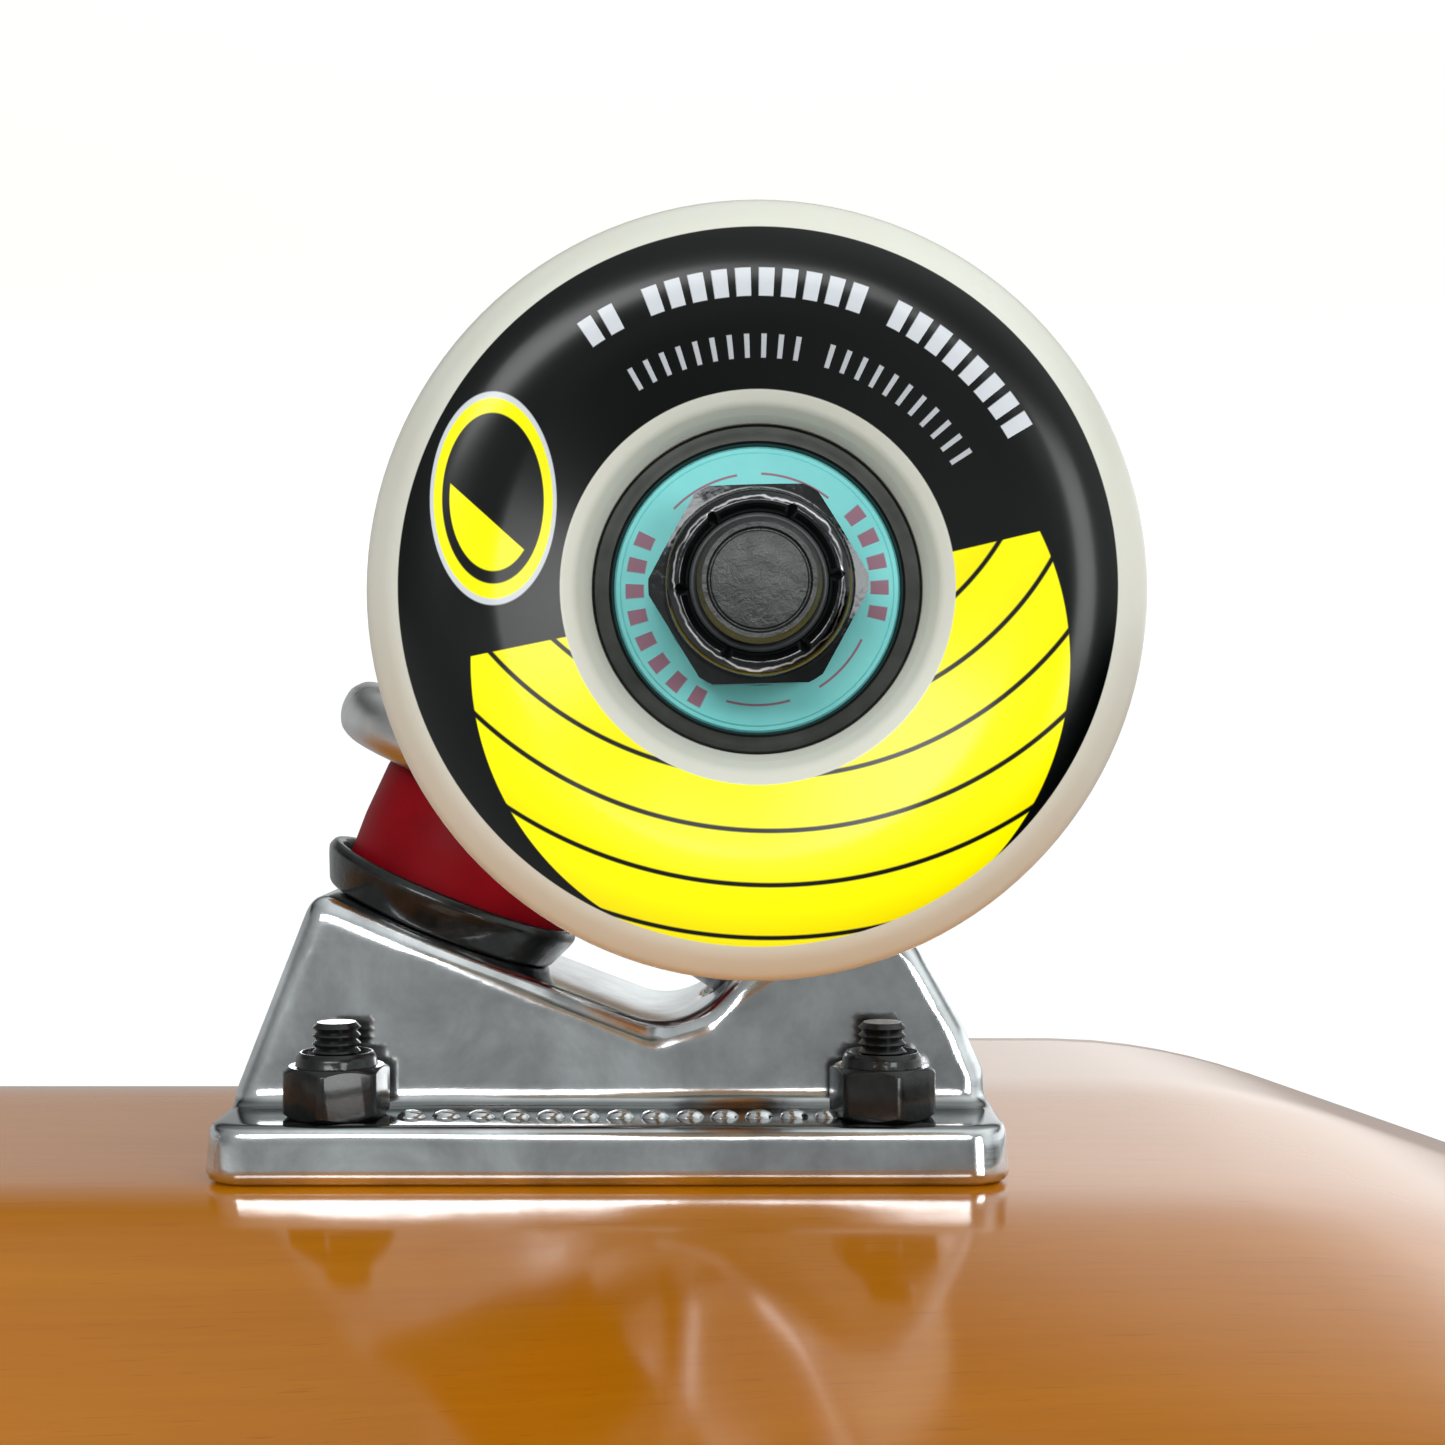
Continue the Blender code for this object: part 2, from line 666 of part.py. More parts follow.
def grip_mesh():
    grip = thicken(deck_sheet(DECK_THICKNESS + GAP, GRIP_INSET), GRIP_THICKNESS)
    above = DECK_HEIGHT + DECK_THICKNESS
    reach = DECK_THICKNESS / 2
    radius = BOLT_HEAD_RADIUS + HEAD_ROOM
    holes = [prism(8, radius, -reach, reach, (x, y, above)) for _, _, x, y in bolt_places()]
    return finished(combine(grip, holes, "DIFFERENCE"))


def bolt_mesh():
    """A countersunk bolt along Z, its frame on the deck's underside."""
    head_top = DECK_THICKNESS + GAP + GRIP_THICKNESS - GAP / 2
    rim = head_top - HEAD_RIM
    profile = [
        (0, head_top),
        (BOLT_HEAD_RADIUS, head_top),
        (BOLT_HEAD_RADIUS, rim),
        (BOLT_RADIUS, head_top - BOLT_HEAD_HEIGHT),
        (BOLT_RADIUS, -BOLT_END_DROP + HEAD_RIM),
        (BOLT_RADIUS - HEAD_RIM, -BOLT_END_DROP),
        (0, -BOLT_END_DROP),
    ]
    return finished(turned(profile, 8))


# The board

def make_materials():
    return {
        "wood": new_material("stained_maple", (0.58, 0.22, 0.04), 0, 0.25),
        "grip": new_material("grip_tape", (0.02, 0.02, 0.02), 0, 0.95),
        "alloy": new_material("polished_aluminium", (0.80, 0.80, 0.81), 1, 0.15),
        "hanger": new_material("cast_aluminium", (0.68, 0.68, 0.69), 1, 0.35),
        "black_steel": new_material("black_steel", (0.02, 0.02, 0.02), 0.6, 0.3),
        "steel": new_material("axle_steel", (0.25, 0.24, 0.23), 1, 0.4),
        "red": new_material("red_urethane", (0.35, 0.005, 0.01), 0, 0.35),
        "cup": new_material("pivot_cup_plastic", (0.03, 0.03, 0.03), 0, 0.5),
        "urethane": new_material("ivory_urethane", (0.85, 0.82, 0.72), 0, 0.25),
        "shield": new_material("teal_shield", (0.12, 0.55, 0.56), 0, 0.35),
    }


def build_deck(paint):
    place("deck", deck_mesh(), paint["wood"], None)
    place("grip_tape", grip_mesh(), paint["grip"], None)
    bolt = bolt_mesh()
    nut = nut_mesh(MOUNT_NUT_FLATS, MOUNT_NUT_HEX_HEIGHT, MOUNT_NUT_HEIGHT, MOUNT_NUT_COLLAR_RADIUS,
                   BOLT_RADIUS + GAP)
    black = paint["black_steel"]
    seat = DECK_HEIGHT - PLATE_DROP - GAP
    for truck, number, x, y in bolt_places():
        place(f"{truck}_mounting_bolt_{number}", bolt, black, None, (x, y, DECK_HEIGHT))
        place(f"{truck}_mounting_nut_{number}", nut, black, None, (x, y, seat), (math.pi, 0, 0))


def truck_pieces(paint):
    """Each fixed piece of a truck: name, mesh, material, place along the kingpin, turned over or not."""
    bottom_washer = washer_mesh(WASHER_RADIUS, WASHER_LIP)
    washer_place = TOWER_TOP + GAP
    bottom_start = washer_place + WASHER_THICKNESS + GAP
    bottom_height = -RING_HALF_THICKNESS - GAP - bottom_start
    top_start = RING_HALF_THICKNESS + GAP
    top_washer_end = top_start + TOP_BUSHING_HEIGHT + GAP + WASHER_THICKNESS
    nut = nut_mesh(KINGPIN_NUT_FLATS, KINGPIN_NUT_HEX_HEIGHT, KINGPIN_NUT_HEIGHT, KINGPIN_NUT_COLLAR_RADIUS,
                   KINGPIN_RADIUS + GAP)
    bushing = bushing_mesh(BUSHING_RADIUS, BUSHING_RADIUS, bottom_height)
    cone = bushing_mesh(BUSHING_RADIUS - 0.2 * MM, TOP_BUSHING_SMALL_RADIUS, TOP_BUSHING_HEIGHT)
    top_washer = washer_mesh(TOP_WASHER_RADIUS, TOP_WASHER_LIP)
    return [
        ("kingpin", kingpin_mesh(), paint["black_steel"], 0, False),
        ("bottom_washer", bottom_washer, paint["black_steel"], washer_place, False),
        ("bottom_bushing", bushing, paint["red"], bottom_start, False),
        ("top_bushing", cone, paint["red"], top_start, False),
        ("top_washer", top_washer, paint["black_steel"], top_washer_end, True),
        ("kingpin_nut", nut, paint["black_steel"], top_washer_end + GAP, False),
    ]


def build_trucks(paint):
    baseplate = baseplate_mesh()
    cup = pivot_cup_mesh()
    hanger = hanger_mesh()
    axle = axle_mesh()
    pieces = truck_pieces(paint)
    wheel = wheel_mesh()
    bearing = bearing_mesh()
    stack = stack_mesh()
    axle_nut = nut_mesh(AXLE_NUT_FLATS, AXLE_NUT_HEX_HEIGHT, AXLE_NUT_HEIGHT, AXLE_NUT_CROWN_RADIUS,
                        AXLE_RADIUS + GAP)
    for truck, side in (("front", 1), ("rear", -1)):
        turn = 0 if side > 0 else math.pi
        spot = (BOARD_CENTRE_X + side * TRUCK_SPACING, 0, DECK_HEIGHT)
        frame = frame_at(f"{truck}_truck_frame", spot, turn)
        place(f"{truck}_baseplate", baseplate, paint["alloy"], frame)
        place(f"{truck}_pivot_cup", cup, paint["cup"], frame, RING_CENTRE, ALONG_PIVOT)
        for name, mesh, material, along, flipped in pieces:
            lean = (0, -KINGPIN_LEAN, 0) if flipped else ALONG_KINGPIN
            place(f"{truck}_{name}", mesh, material, frame, in_truck(along, KINGPIN_AXIS), lean)
        place(f"{truck}_hanger", hanger, paint["hanger"], frame, RING_CENTRE)
        place(f"{truck}_axle", axle, paint["steel"], frame, AXLE_CENTRE, (math.pi / 2, 0, 0))
        for end in (-1, 1):
            hand = "left" if end * side > 0 else "right"
            build_wheel(f"{truck}_{hand}", end, frame, paint, wheel, bearing, stack, axle_nut)


def build_wheel(name, end, frame, paint, wheel, bearing, stack, axle_nut):
    """One wheel and its bearings, about the axle; "end" is the axle's end in the truck's frame."""
    outward = (-end * math.pi / 2, 0, 0)

    def on_axle(distance):
        return AXLE_CENTRE + Vector((0, end * distance, 0))

    place(f"{name}_wheel", wheel, paint["urethane"], frame, on_axle(WHEEL_CENTRE_Y), outward)
    outer = WHEEL_CENTRE_Y + BEARING_OFFSET
    inner = WHEEL_CENTRE_Y - BEARING_OFFSET
    place(f"{name}_outer_bearing", bearing, paint["shield"], frame, on_axle(outer), outward)
    place(f"{name}_inner_bearing", bearing, paint["shield"], frame, on_axle(inner), outward)
    place(f"{name}_spacer_stack", stack, paint["steel"], frame, on_axle(WHEEL_CENTRE_Y), outward)
    nut_seat = WHEEL_CENTRE_Y + STACK_HALF_LENGTH + GAP
    place(f"{name}_axle_nut", axle_nut, paint["black_steel"], frame, on_axle(nut_seat), outward)


clear_scene()
board = new_collection("skateboard")
cutters = new_collection("cutters")
paints = make_materials()
build_deck(paints)
build_trucks(paints)
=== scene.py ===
"""The skateboard's looks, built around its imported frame.

Metres; +X is the nose, +Y the left and +Z up, with the wheels' treads at Z = 0. A truck's own frame is at
its baseplate's centre on the deck's underside, +X outboard.
"""

import json
import math

import bmesh
import bpy
from mathutils import Matrix, Vector


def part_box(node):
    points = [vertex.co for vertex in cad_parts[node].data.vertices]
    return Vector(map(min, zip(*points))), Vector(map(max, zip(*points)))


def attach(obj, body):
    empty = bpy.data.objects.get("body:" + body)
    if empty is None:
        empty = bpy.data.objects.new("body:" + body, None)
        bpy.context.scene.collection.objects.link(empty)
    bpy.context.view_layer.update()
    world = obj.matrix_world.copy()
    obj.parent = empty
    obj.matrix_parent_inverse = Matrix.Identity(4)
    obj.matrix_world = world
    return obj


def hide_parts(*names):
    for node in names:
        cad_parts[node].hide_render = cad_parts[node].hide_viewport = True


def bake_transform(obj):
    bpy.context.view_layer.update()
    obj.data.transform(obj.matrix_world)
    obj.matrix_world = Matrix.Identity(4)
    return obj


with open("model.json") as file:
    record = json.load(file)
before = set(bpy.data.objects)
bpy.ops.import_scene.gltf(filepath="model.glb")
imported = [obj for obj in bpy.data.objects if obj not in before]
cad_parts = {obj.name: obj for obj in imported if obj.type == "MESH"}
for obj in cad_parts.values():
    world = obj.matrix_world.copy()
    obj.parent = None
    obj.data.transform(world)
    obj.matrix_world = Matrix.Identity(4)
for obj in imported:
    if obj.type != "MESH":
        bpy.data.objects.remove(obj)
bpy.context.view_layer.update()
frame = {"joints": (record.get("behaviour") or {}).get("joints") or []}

MM = 0.001
RIGHT_ANGLE = math.pi / 2

# Places and sizes that the frame gives
JOINTS = {joint["name"]: joint for joint in frame["joints"]}
PLATE_LOW, PLATE_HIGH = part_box("front_baseplate")
WHEEL_LOW, WHEEL_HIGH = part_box("front_left_wheel")
DECK_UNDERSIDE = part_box("deck")[0].z
PLATE_X = (PLATE_LOW.x + PLATE_HIGH.x) / 2
REAR_PLATE_X = sum(corner.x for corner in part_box("rear_baseplate")) / 2
BOARD_CENTRE_X = (PLATE_X + REAR_PLATE_X) / 2
TRUCK_SPACING = PLATE_X - BOARD_CENTRE_X
WHEEL_RADIUS = (WHEEL_HIGH.x - WHEEL_LOW.x) / 2
WHEEL_HALF_WIDTH = (WHEEL_HIGH.y - WHEEL_LOW.y) / 2
WHEEL_Y = (WHEEL_LOW.y + WHEEL_HIGH.y) / 2
AXLE_X = (WHEEL_LOW.x + WHEEL_HIGH.x) / 2 - PLATE_X
AXLE_Z = (WHEEL_LOW.z + WHEEL_HIGH.z) / 2 - DECK_UNDERSIDE
AXLE = Vector((AXLE_X, 0, AXLE_Z))
AXLE_HALF_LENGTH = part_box("front_axle")[1].y
HANGER_HALF_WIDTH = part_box("front_hanger")[1].y
RING = Vector(JOINTS["front_steering"]["pos_m"]) - Vector((PLATE_X, 0, DECK_UNDERSIDE))
PIVOT_AXIS = Vector(JOINTS["front_steering"]["axis"])

# Truck sizes; distances on the kingpin and pivot axes are from the ring's centre
KINGPIN_LEAN = math.radians(22)
KINGPIN_AXIS = Vector((math.sin(KINGPIN_LEAN), 0, -math.cos(KINGPIN_LEAN)))
RING_RADIUS = 17.9 * MM
RING_HALF_THICKNESS = 4.1 * MM
RING_FLOOR = -2.5 * MM
RING_SHIFT = Vector((-0.95 * MM, 0, -0.38 * MM))
TOWER_TOP = -17.5 * MM
CUP_MOUTH = 37.0 * MM
CUP_END = 47.5 * MM
PLATE_LENGTH = PLATE_HIGH.x - PLATE_LOW.x
PLATE_WIDTH = PLATE_HIGH.y - PLATE_LOW.y
PLATE_DROP = 5.75 * MM
PLATE_CORNER = 4.0 * MM
PLATE_DRAFT = 0.3 * MM
TOWER_HALF_WIDTH = 13.9 * MM
TOWER_HEIGHT = 28.0 * MM
TOWER_DRAFT = 6.5
FLARE_HEIGHT = 1.5 * MM
BEADS = 13
BEAD_RADIUS = 1.3 * MM
BEAD_PITCH = 3.42 * MM
BEAD_ROW_START = 1.1 * MM
BEAD_ROW_Y = 21.6 * MM
HOLE_SPACING_X = 53.98 * MM
HOLE_SPACING_Y = 41.28 * MM
AXLE_RADIUS = 3.97 * MM
KINGPIN_RADIUS = 4.76 * MM
KINGPIN_END = 27.5 * MM
KINGPIN_HEAD = -32.5 * MM
TOP_WASHER_SEAT = 17.3 * MM
BUSHING_BOTTOM = -16.0 * MM
BUSHING_TOP = 15.8 * MM
BEARING_OFFSET = 8.5 * MM
BEARING_HALF_WIDTH = 3.5 * MM
STACK_HALF_LENGTH = 12.8 * MM
BOLT_RADIUS = 2.38 * MM

# Deck sizes
DECK_HALF_WIDTH = 101.5 * MM
DECK_THICKNESS = 11.0 * MM
PLIES = 7
GRIP_THICKNESS = 1.0 * MM
NOSE_REACH = 195.0 * MM
TAIL_REACH = 183.0 * MM
ROUND_END = 125.0 * MM
CONCAVE_FLAT = 24.0 * MM
CONCAVE_BLEND = 16.0 * MM
CONCAVE_SLOPE = math.tan(math.radians(9.6))
CONCAVE_AT_KICK = 0.32
CONCAVE_FADE = 50.0 * MM
KICK_START = 60.0 * MM
KICK_BEND = 32.0 * MM
KICK_SLOPE = 0.345
RAIL_RADIUS = 3.6 * MM
GRIP_INSET = 3.2 * MM
GRIP_RAIL = 0.45 * MM

# Studio sizes; a steered truck's lower wheel dips 17 mm, so the floor lies below that
FLOOR_DROP = 17.5 * MM
WINDOW_DISTANCE = 1.3
BACKDROP = 1.05
CAMERA_DISTANCE = 159.5 * MM

# How far each wheel has rolled, in degrees
WHEEL_TURNS = {"front_left": 0, "front_right": 205, "rear_left": 78, "rear_right": 290}


# Shader arithmetic

class Field:
    """A number that varies over a surface, for ordinary arithmetic in a shader."""

    def __init__(self, tree, socket):
        self.tree = tree
        self.socket = socket

    def math(self, operation, *others, clamp=False):
        node = self.tree.nodes.new("ShaderNodeMath")
        node.operation = operation
        node.use_clamp = clamp
        for slot, value in zip(node.inputs, (self, *others)):
            plug(self.tree, value, slot)
        return Field(self.tree, node.outputs[0])

    def __add__(self, other):
        return self.math("ADD", other)

    def __sub__(self, other):
        return self.math("SUBTRACT", other)

    def __mul__(self, other):
        return self.math("MULTIPLY", other)

    def __truediv__(self, other):
        return self.math("DIVIDE", other)

    __radd__ = __add__
    __rmul__ = __mul__

    def __or__(self, other):
        return self.math("MAXIMUM", other)

    def __and__(self, other):
        return self.math("MINIMUM", other)

    def __invert__(self):
        return (self * -1) + 1

    def size(self):
        return self.math("ABSOLUTE")

    def above(self, limit, soft):
        """1 where the field is over the limit, with an edge this soft."""
        return ((self - limit) / soft + 0.5).math("ADD", 0, clamp=True)

    def below(self, limit, soft):
        return ~self.above(limit, soft)

    def distance(self, other):
        return (self * self + other * other).math("SQRT")


def plug(tree, value, slot):
    """Links a field to a shader socket, or sets the socket to a constant."""
    if isinstance(value, Field):
        tree.links.new(value.socket, slot)
    else:
        slot.default_value = value


class Paint:
    """A Principled material being made."""

    def __init__(self, name, colour, metallic=0.0, roughness=0.5, **settings):
        self.material = bpy.data.materials.new(name)
        self.material.use_nodes = True
        self.tree = self.material.node_tree
        self.shader = self.tree.nodes["Principled BSDF"]
        self.set("Base Color", (*colour, 1))
        self.set("Metallic", metallic)
        self.set("Roughness", roughness)
        for setting, value in settings.items():
            self.set(setting.replace("_", " ").title(), value)

    def set(self, socket, value):
        plug(self.tree, value, self.shader.inputs[socket])

    def place(self, scale):
        """The piece's own coordinates, stretched."""
        coordinates = self.tree.nodes.new("ShaderNodeTexCoord")
        mapping = self.tree.nodes.new("ShaderNodeMapping")
        mapping.inputs["Scale"].default_value = scale
        self.tree.links.new(coordinates.outputs["Object"], mapping.inputs["Vector"])
        return mapping.outputs["Vector"]

    def axes(self, scale):
        """The piece's X, Y and Z as fields."""
        split = self.tree.nodes.new("ShaderNodeSeparateXYZ")
        self.tree.links.new(self.place((scale, scale, scale)), split.inputs[0])
        return [Field(self.tree, output) for output in split.outputs]

    def noise(self, scale, detail=3.0, roughness=0.55, stretch=(1, 1, 1), distortion=0.0):
        node = self.tree.nodes.new("ShaderNodeTexNoise")
        node.inputs["Scale"].default_value = scale
        node.inputs["Detail"].default_value = detail
        node.inputs["Roughness"].default_value = roughness
        node.inputs["Distortion"].default_value = distortion
        self.tree.links.new(self.place(stretch), node.inputs["Vector"])
        return Field(self.tree, node.outputs[0])

    def mix(self, factor, first, second):
        """A colour field: first where the factor is 0 and second where it is 1."""
        node = self.tree.nodes.new("ShaderNodeMix")
        node.data_type = "RGBA"
        plug(self.tree, factor, node.inputs[0])
        for slot, colour in ((node.inputs[6], first), (node.inputs[7], second)):
            plug(self.tree, colour if isinstance(colour, Field) else (*colour, 1), slot)
        return Field(self.tree, node.outputs[2])

    def bump(self, height, distance, strength):
        node = self.tree.nodes.new("ShaderNodeBump")
        node.inputs["Strength"].default_value = strength
        node.inputs["Distance"].default_value = distance
        plug(self.tree, height, node.inputs["Height"])
        self.set("Normal", Field(self.tree, node.outputs[0]))


# Materials

INK_BLACK = (0.003, 0.004, 0.004)
INK_YELLOW = (1.0, 0.97, 0.0)
INK_GOLD = (0.90, 0.74, 0.0)
INK_WHITE = (0.66, 0.70, 0.74)
IVORY = (0.73, 0.74, 0.66)
PRINT_INNER = 13.02
PRINT_OUTER = 23.6


def dashes(radius, turn, ring, half_width, pitch, share, groups):
    """Plain dashes round a circle: one every pitch degrees, in groups from one angle to another."""
    band = (radius - ring).size().below(half_width, 0.06)
    beat = (turn / pitch).math("FRACT").below(share, 0.05)
    shown = None
    for first, last in groups:
        group = turn.above(first, 0.3) & turn.below(last, 0.3)
        shown = group if shown is None else shown | group
    return band & beat & shown


def yellow_print(paint, x, y):
    """A plain yellow segment of a disc, with even curved pinstripes and a soft gold shade in each band."""
    side = x - 0.8
    segment = side.distance(y + 5.0).below(19.5, 0.08) & (y - x * 0.22).below(-0.5, 0.08)
    beat = (side.distance(y - 12.0) / 3.5).math("FRACT")
    stripes = (beat - 0.5).size().above(0.455, 0.03)
    tone = paint.mix(beat.above(0.65, 0.7) * 0.6, INK_YELLOW, INK_GOLD)
    return segment, paint.mix(stripes, tone, INK_BLACK)


def urethane_paint():
    """Ivory urethane, its outer face printed: a black ring with dash arcs, yellow bands and an oval."""
    paint = Paint("ivory_urethane", IVORY, roughness=0.22, coat_weight=0.15, coat_roughness=0.16)
    paint.set("Subsurface Weight", 0.12)
    paint.set("Subsurface Radius", (1.0, 0.85, 0.6))
    paint.set("Subsurface Scale", 0.002)
    x, y, z = paint.axes(1 / MM)
    radius = x.distance(y)
    turn = y.math("ARCTAN2", x) * (180 / math.pi)
    face = z.above(10.5, 0.2)
    ring = radius.above(PRINT_INNER, 0.07) & radius.below(PRINT_OUTER, 0.07) & face
    yellow, artwork = yellow_print(paint, x, y)
    words = dashes(radius, turn, 19.8, 0.92, 4.35, 0.66, ((29.8, 64.5), (69, 112.5), (116.8, 125.4)))
    small = dashes(radius, turn, 15.75, 0.75, 4.0, 0.3, ((31.4, 74.5), (79.3, 122.5)))
    art = paint.mix(words | small * 0.8, INK_BLACK, INK_WHITE)
    art = paint.mix(yellow, art, artwork)
    oval = ((x + 17.3) / 4.1).distance((y - 5.7) / 6.95)
    art = paint.mix(oval.below(1.0, 0.015), art, INK_WHITE)
    art = paint.mix(oval.below(0.94, 0.015), art, INK_YELLOW)
    art = paint.mix(oval.below(0.80, 0.015), art, INK_BLACK)
    wedge = ((x + 17.3) * 0.9 + y - 4.2).below(0, 0.06) & oval.below(0.68, 0.015)
    art = paint.mix(wedge, art, INK_YELLOW)
    grime = paint.noise(90, 4.0, 0.6)
    body = paint.mix(grime.above(0.55, 0.3) * 0.3, IVORY, (0.66, 0.63, 0.52))
    paint.set("Base Color", paint.mix(ring, body, art))
    paint.set("Roughness", ring * -0.04 + grime * 0.1 + 0.24)
    paint.set("Specular IOR Level", 0.22)
    # Painted light: the yellow print glows faintly, though it is no lamp
    paint.set("Emission Color", paint.mix(yellow & ring, (0, 0, 0), artwork))
    paint.set("Emission Strength", 0.1)
    paint.bump(grime + ring * 0.3, 0.00002, 0.3)
    return paint.material


def race_paint():
    """Dark bearing steel, brushed in circles."""
    paint = Paint("bearing_steel", (0.10, 0.10, 0.095), metallic=0.9, roughness=0.34)
    wear = paint.noise(300, 4.0, 0.6)
    x, y, _ = paint.axes(1 / MM)
    brushed = (x.distance(y) * 9 + wear * 2).math("SINE")
    paint.set("Base Color", paint.mix(wear, (0.022, 0.024, 0.023), (0.07, 0.072, 0.066)))
    paint.set("Roughness", wear * 0.2 + 0.25)
    paint.bump(brushed, 0.000004, 0.4)
    return paint.material


def shield_paint():
    """Teal sheet steel printed with plain arcs and dash groups."""
    paint = Paint("teal_shield", (0.13, 0.55, 0.56), roughness=0.3, coat_weight=0.25, coat_roughness=0.12)
    x, y, _ = paint.axes(1 / MM)
    radius = x.distance(y)
    turn = y.math("ARCTAN2", x) * (180 / math.pi)
    thin = (radius - 7.75).size().below(0.08, 0.05)
    arcs = thin & (
        ((turn - 94).size().below(42, 0.5) & (turn - 94).size().above(6, 0.5))
        | ((turn + 65.5).size().below(40, 0.5) & (turn + 65.5).size().above(8, 0.5))
    )
    beat = (turn * (1 / 12) + 0.2).math("FRACT").below(0.55, 0.06)
    thick = (radius - 8.2).size().below(0.62, 0.08) & beat
    groups = thick & (turn.above(151, 0.5) | turn.below(-113, 0.5) | (turn - 15).size().below(29, 0.5))
    cloud = paint.noise(200, 3.0, 0.6)
    base = paint.mix(cloud, (0.15, 0.62, 0.62), (0.24, 0.76, 0.74))
    paint.set("Base Color", paint.mix((arcs | groups) * 0.85, base, (0.30, 0.03, 0.10)))
    paint.set("Roughness", cloud * 0.2 + 0.22)
    paint.bump(cloud, 0.00001, 0.3)
    return paint.material


def black_steel_paint():
    """Black plated hardware, glossy over a faintly uneven surface."""
    paint = Paint("black_hardware", (0.012, 0.013, 0.014), metallic=0.7, roughness=0.18)
    paint.set("Coat Weight", 0.5)
    paint.set("Coat Roughness", 0.12)
    flow = paint.noise(520, 4.0, 0.6)
    paint.set("Base Color", paint.mix(flow, (0.003, 0.004, 0.004), (0.030, 0.032, 0.032)))
    paint.set("Roughness", flow * 0.25 + 0.2)
    paint.bump(flow, 0.00015, 0.7)
    return paint.material


def nut_paint():
    """Black oxide over a rolled crown, with a painted highlight: a ragged bright line along its crest."""
    paint = Paint("black_lock_nut", (0.010, 0.011, 0.012), metallic=0.8, roughness=0.16)
    paint.set("Coat Weight", 0.5)
    paint.set("Coat Roughness", 0.05)
    x, y, z = paint.axes(1 / MM)
    flow = paint.noise(520, 3.0, 0.6)
    ragged = (paint.noise(360, 3.0, 0.6) - 0.5) * 1.1
    crest = (x.distance(y) - 5.45 + ragged).size().below(0.05, 0.10) & z.above(6.6, 0.15)
    # Painted highlight: a ragged bright, shiny line along the crest stands in for the crest's reflection
    painted_crest_highlight = crest * paint.noise(260, 2.0, 0.5).above(0.42, 0.16)
    dark = paint.mix(flow, (0.004, 0.005, 0.005), (0.035, 0.038, 0.040))
    paint.set("Base Color", paint.mix(painted_crest_highlight, dark, (0.80, 0.82, 0.84)))
    paint.set("Roughness", flow * 0.2 + painted_crest_highlight * 0.25 + 0.08)
    paint.bump(flow, 0.00018, 0.6)
    return paint.material


def nylon_paint():
    """The locking rings in the nuts."""
    paint = Paint("nylon_ring", (0.045, 0.05, 0.052), roughness=0.42)
    grain = paint.noise(900, 3.0, 0.6)
    paint.set("Base Color", paint.mix(grain, (0.03, 0.035, 0.037), (0.08, 0.085, 0.088)))
    paint.bump(grain, 0.00003, 0.4)
    return paint.material


def axle_paint():
    """Dark steel, its sawn ends rough."""
    paint = Paint("axle_steel", (0.10, 0.10, 0.10), metallic=0.85, roughness=0.4)
    rough = paint.noise(900, 5.0, 0.7, distortion=0.4)
    broad = paint.noise(260, 2.0, 0.5)
    mottle = broad * 0.6 + rough * 0.4
    paint.set("Base Color", paint.mix(mottle, (0.03, 0.033, 0.033), (0.13, 0.135, 0.132)))
    paint.set("Roughness", rough * 0.3 + 0.28)
    paint.bump(rough * 0.6 + broad * 0.4, 0.00035, 0.9)
    return paint.material


def alloy_paint(name, light, dark, roughness, scratch, pits):
    """Aluminium that was cast and polished: clouded, scratched and pitted, with painted shade: a dark
    colour on the plate's side face.
    """
    paint = Paint(name, light, metallic=1.0, roughness=roughness)
    cloud = paint.noise(75, 5.0, 0.6, distortion=0.25)
    lines = paint.noise(40, 3.0, 0.6, stretch=(1, 1, 22))
    cast = paint.noise(700, 2.0, 0.5)
    z = paint.axes(1 / MM)[2]
    drop = PLATE_DROP / MM
    # Painted shade: the plate's side face gets a dark base colour, standing in for the darker reflection
    # there
    plate_face_painted_shade = z.above(-drop - 0.75, 0.5) & z.below(-drop + 0.3, 0.2)
    tone = paint.mix(cloud.above(0.5, 0.35), light, dark)
    paint.set("Base Color", paint.mix(plate_face_painted_shade, tone, (0.22, 0.23, 0.23)))
    paint.set("Roughness", cloud * 0.12 + lines * scratch + roughness)
    wave = paint.noise(24, 1.0, 0.5)
    paint.bump(wave * 28 + cloud * 0.5 + lines * 0.08 + cast * pits, 0.0003, 0.3)
    return paint.material


def red_paint():
    """The bushings' urethane."""
    paint = Paint("red_urethane", (0.24, 0.001, 0.008), roughness=0.3)
    paint.set("Specular IOR Level", 0.12)
    cloud = paint.noise(160, 3.0, 0.55)
    paint.set("Base Color", paint.mix(cloud, (0.17, 0.0005, 0.004), (0.34, 0.002, 0.010)))
    paint.set("Roughness", cloud * 0.2 + 0.4)
    paint.bump(cloud, 0.00004, 0.3)
    return paint.material


def cup_paint():
    """The pivot cups' plastic."""
    paint = Paint("pivot_cup_plastic", (0.03, 0.03, 0.03), roughness=0.5)
    grain = paint.noise(800, 2.0, 0.5)
    paint.set("Roughness", grain * 0.2 + 0.4)
    paint.bump(grain, 0.00002, 0.4)
    return paint.material


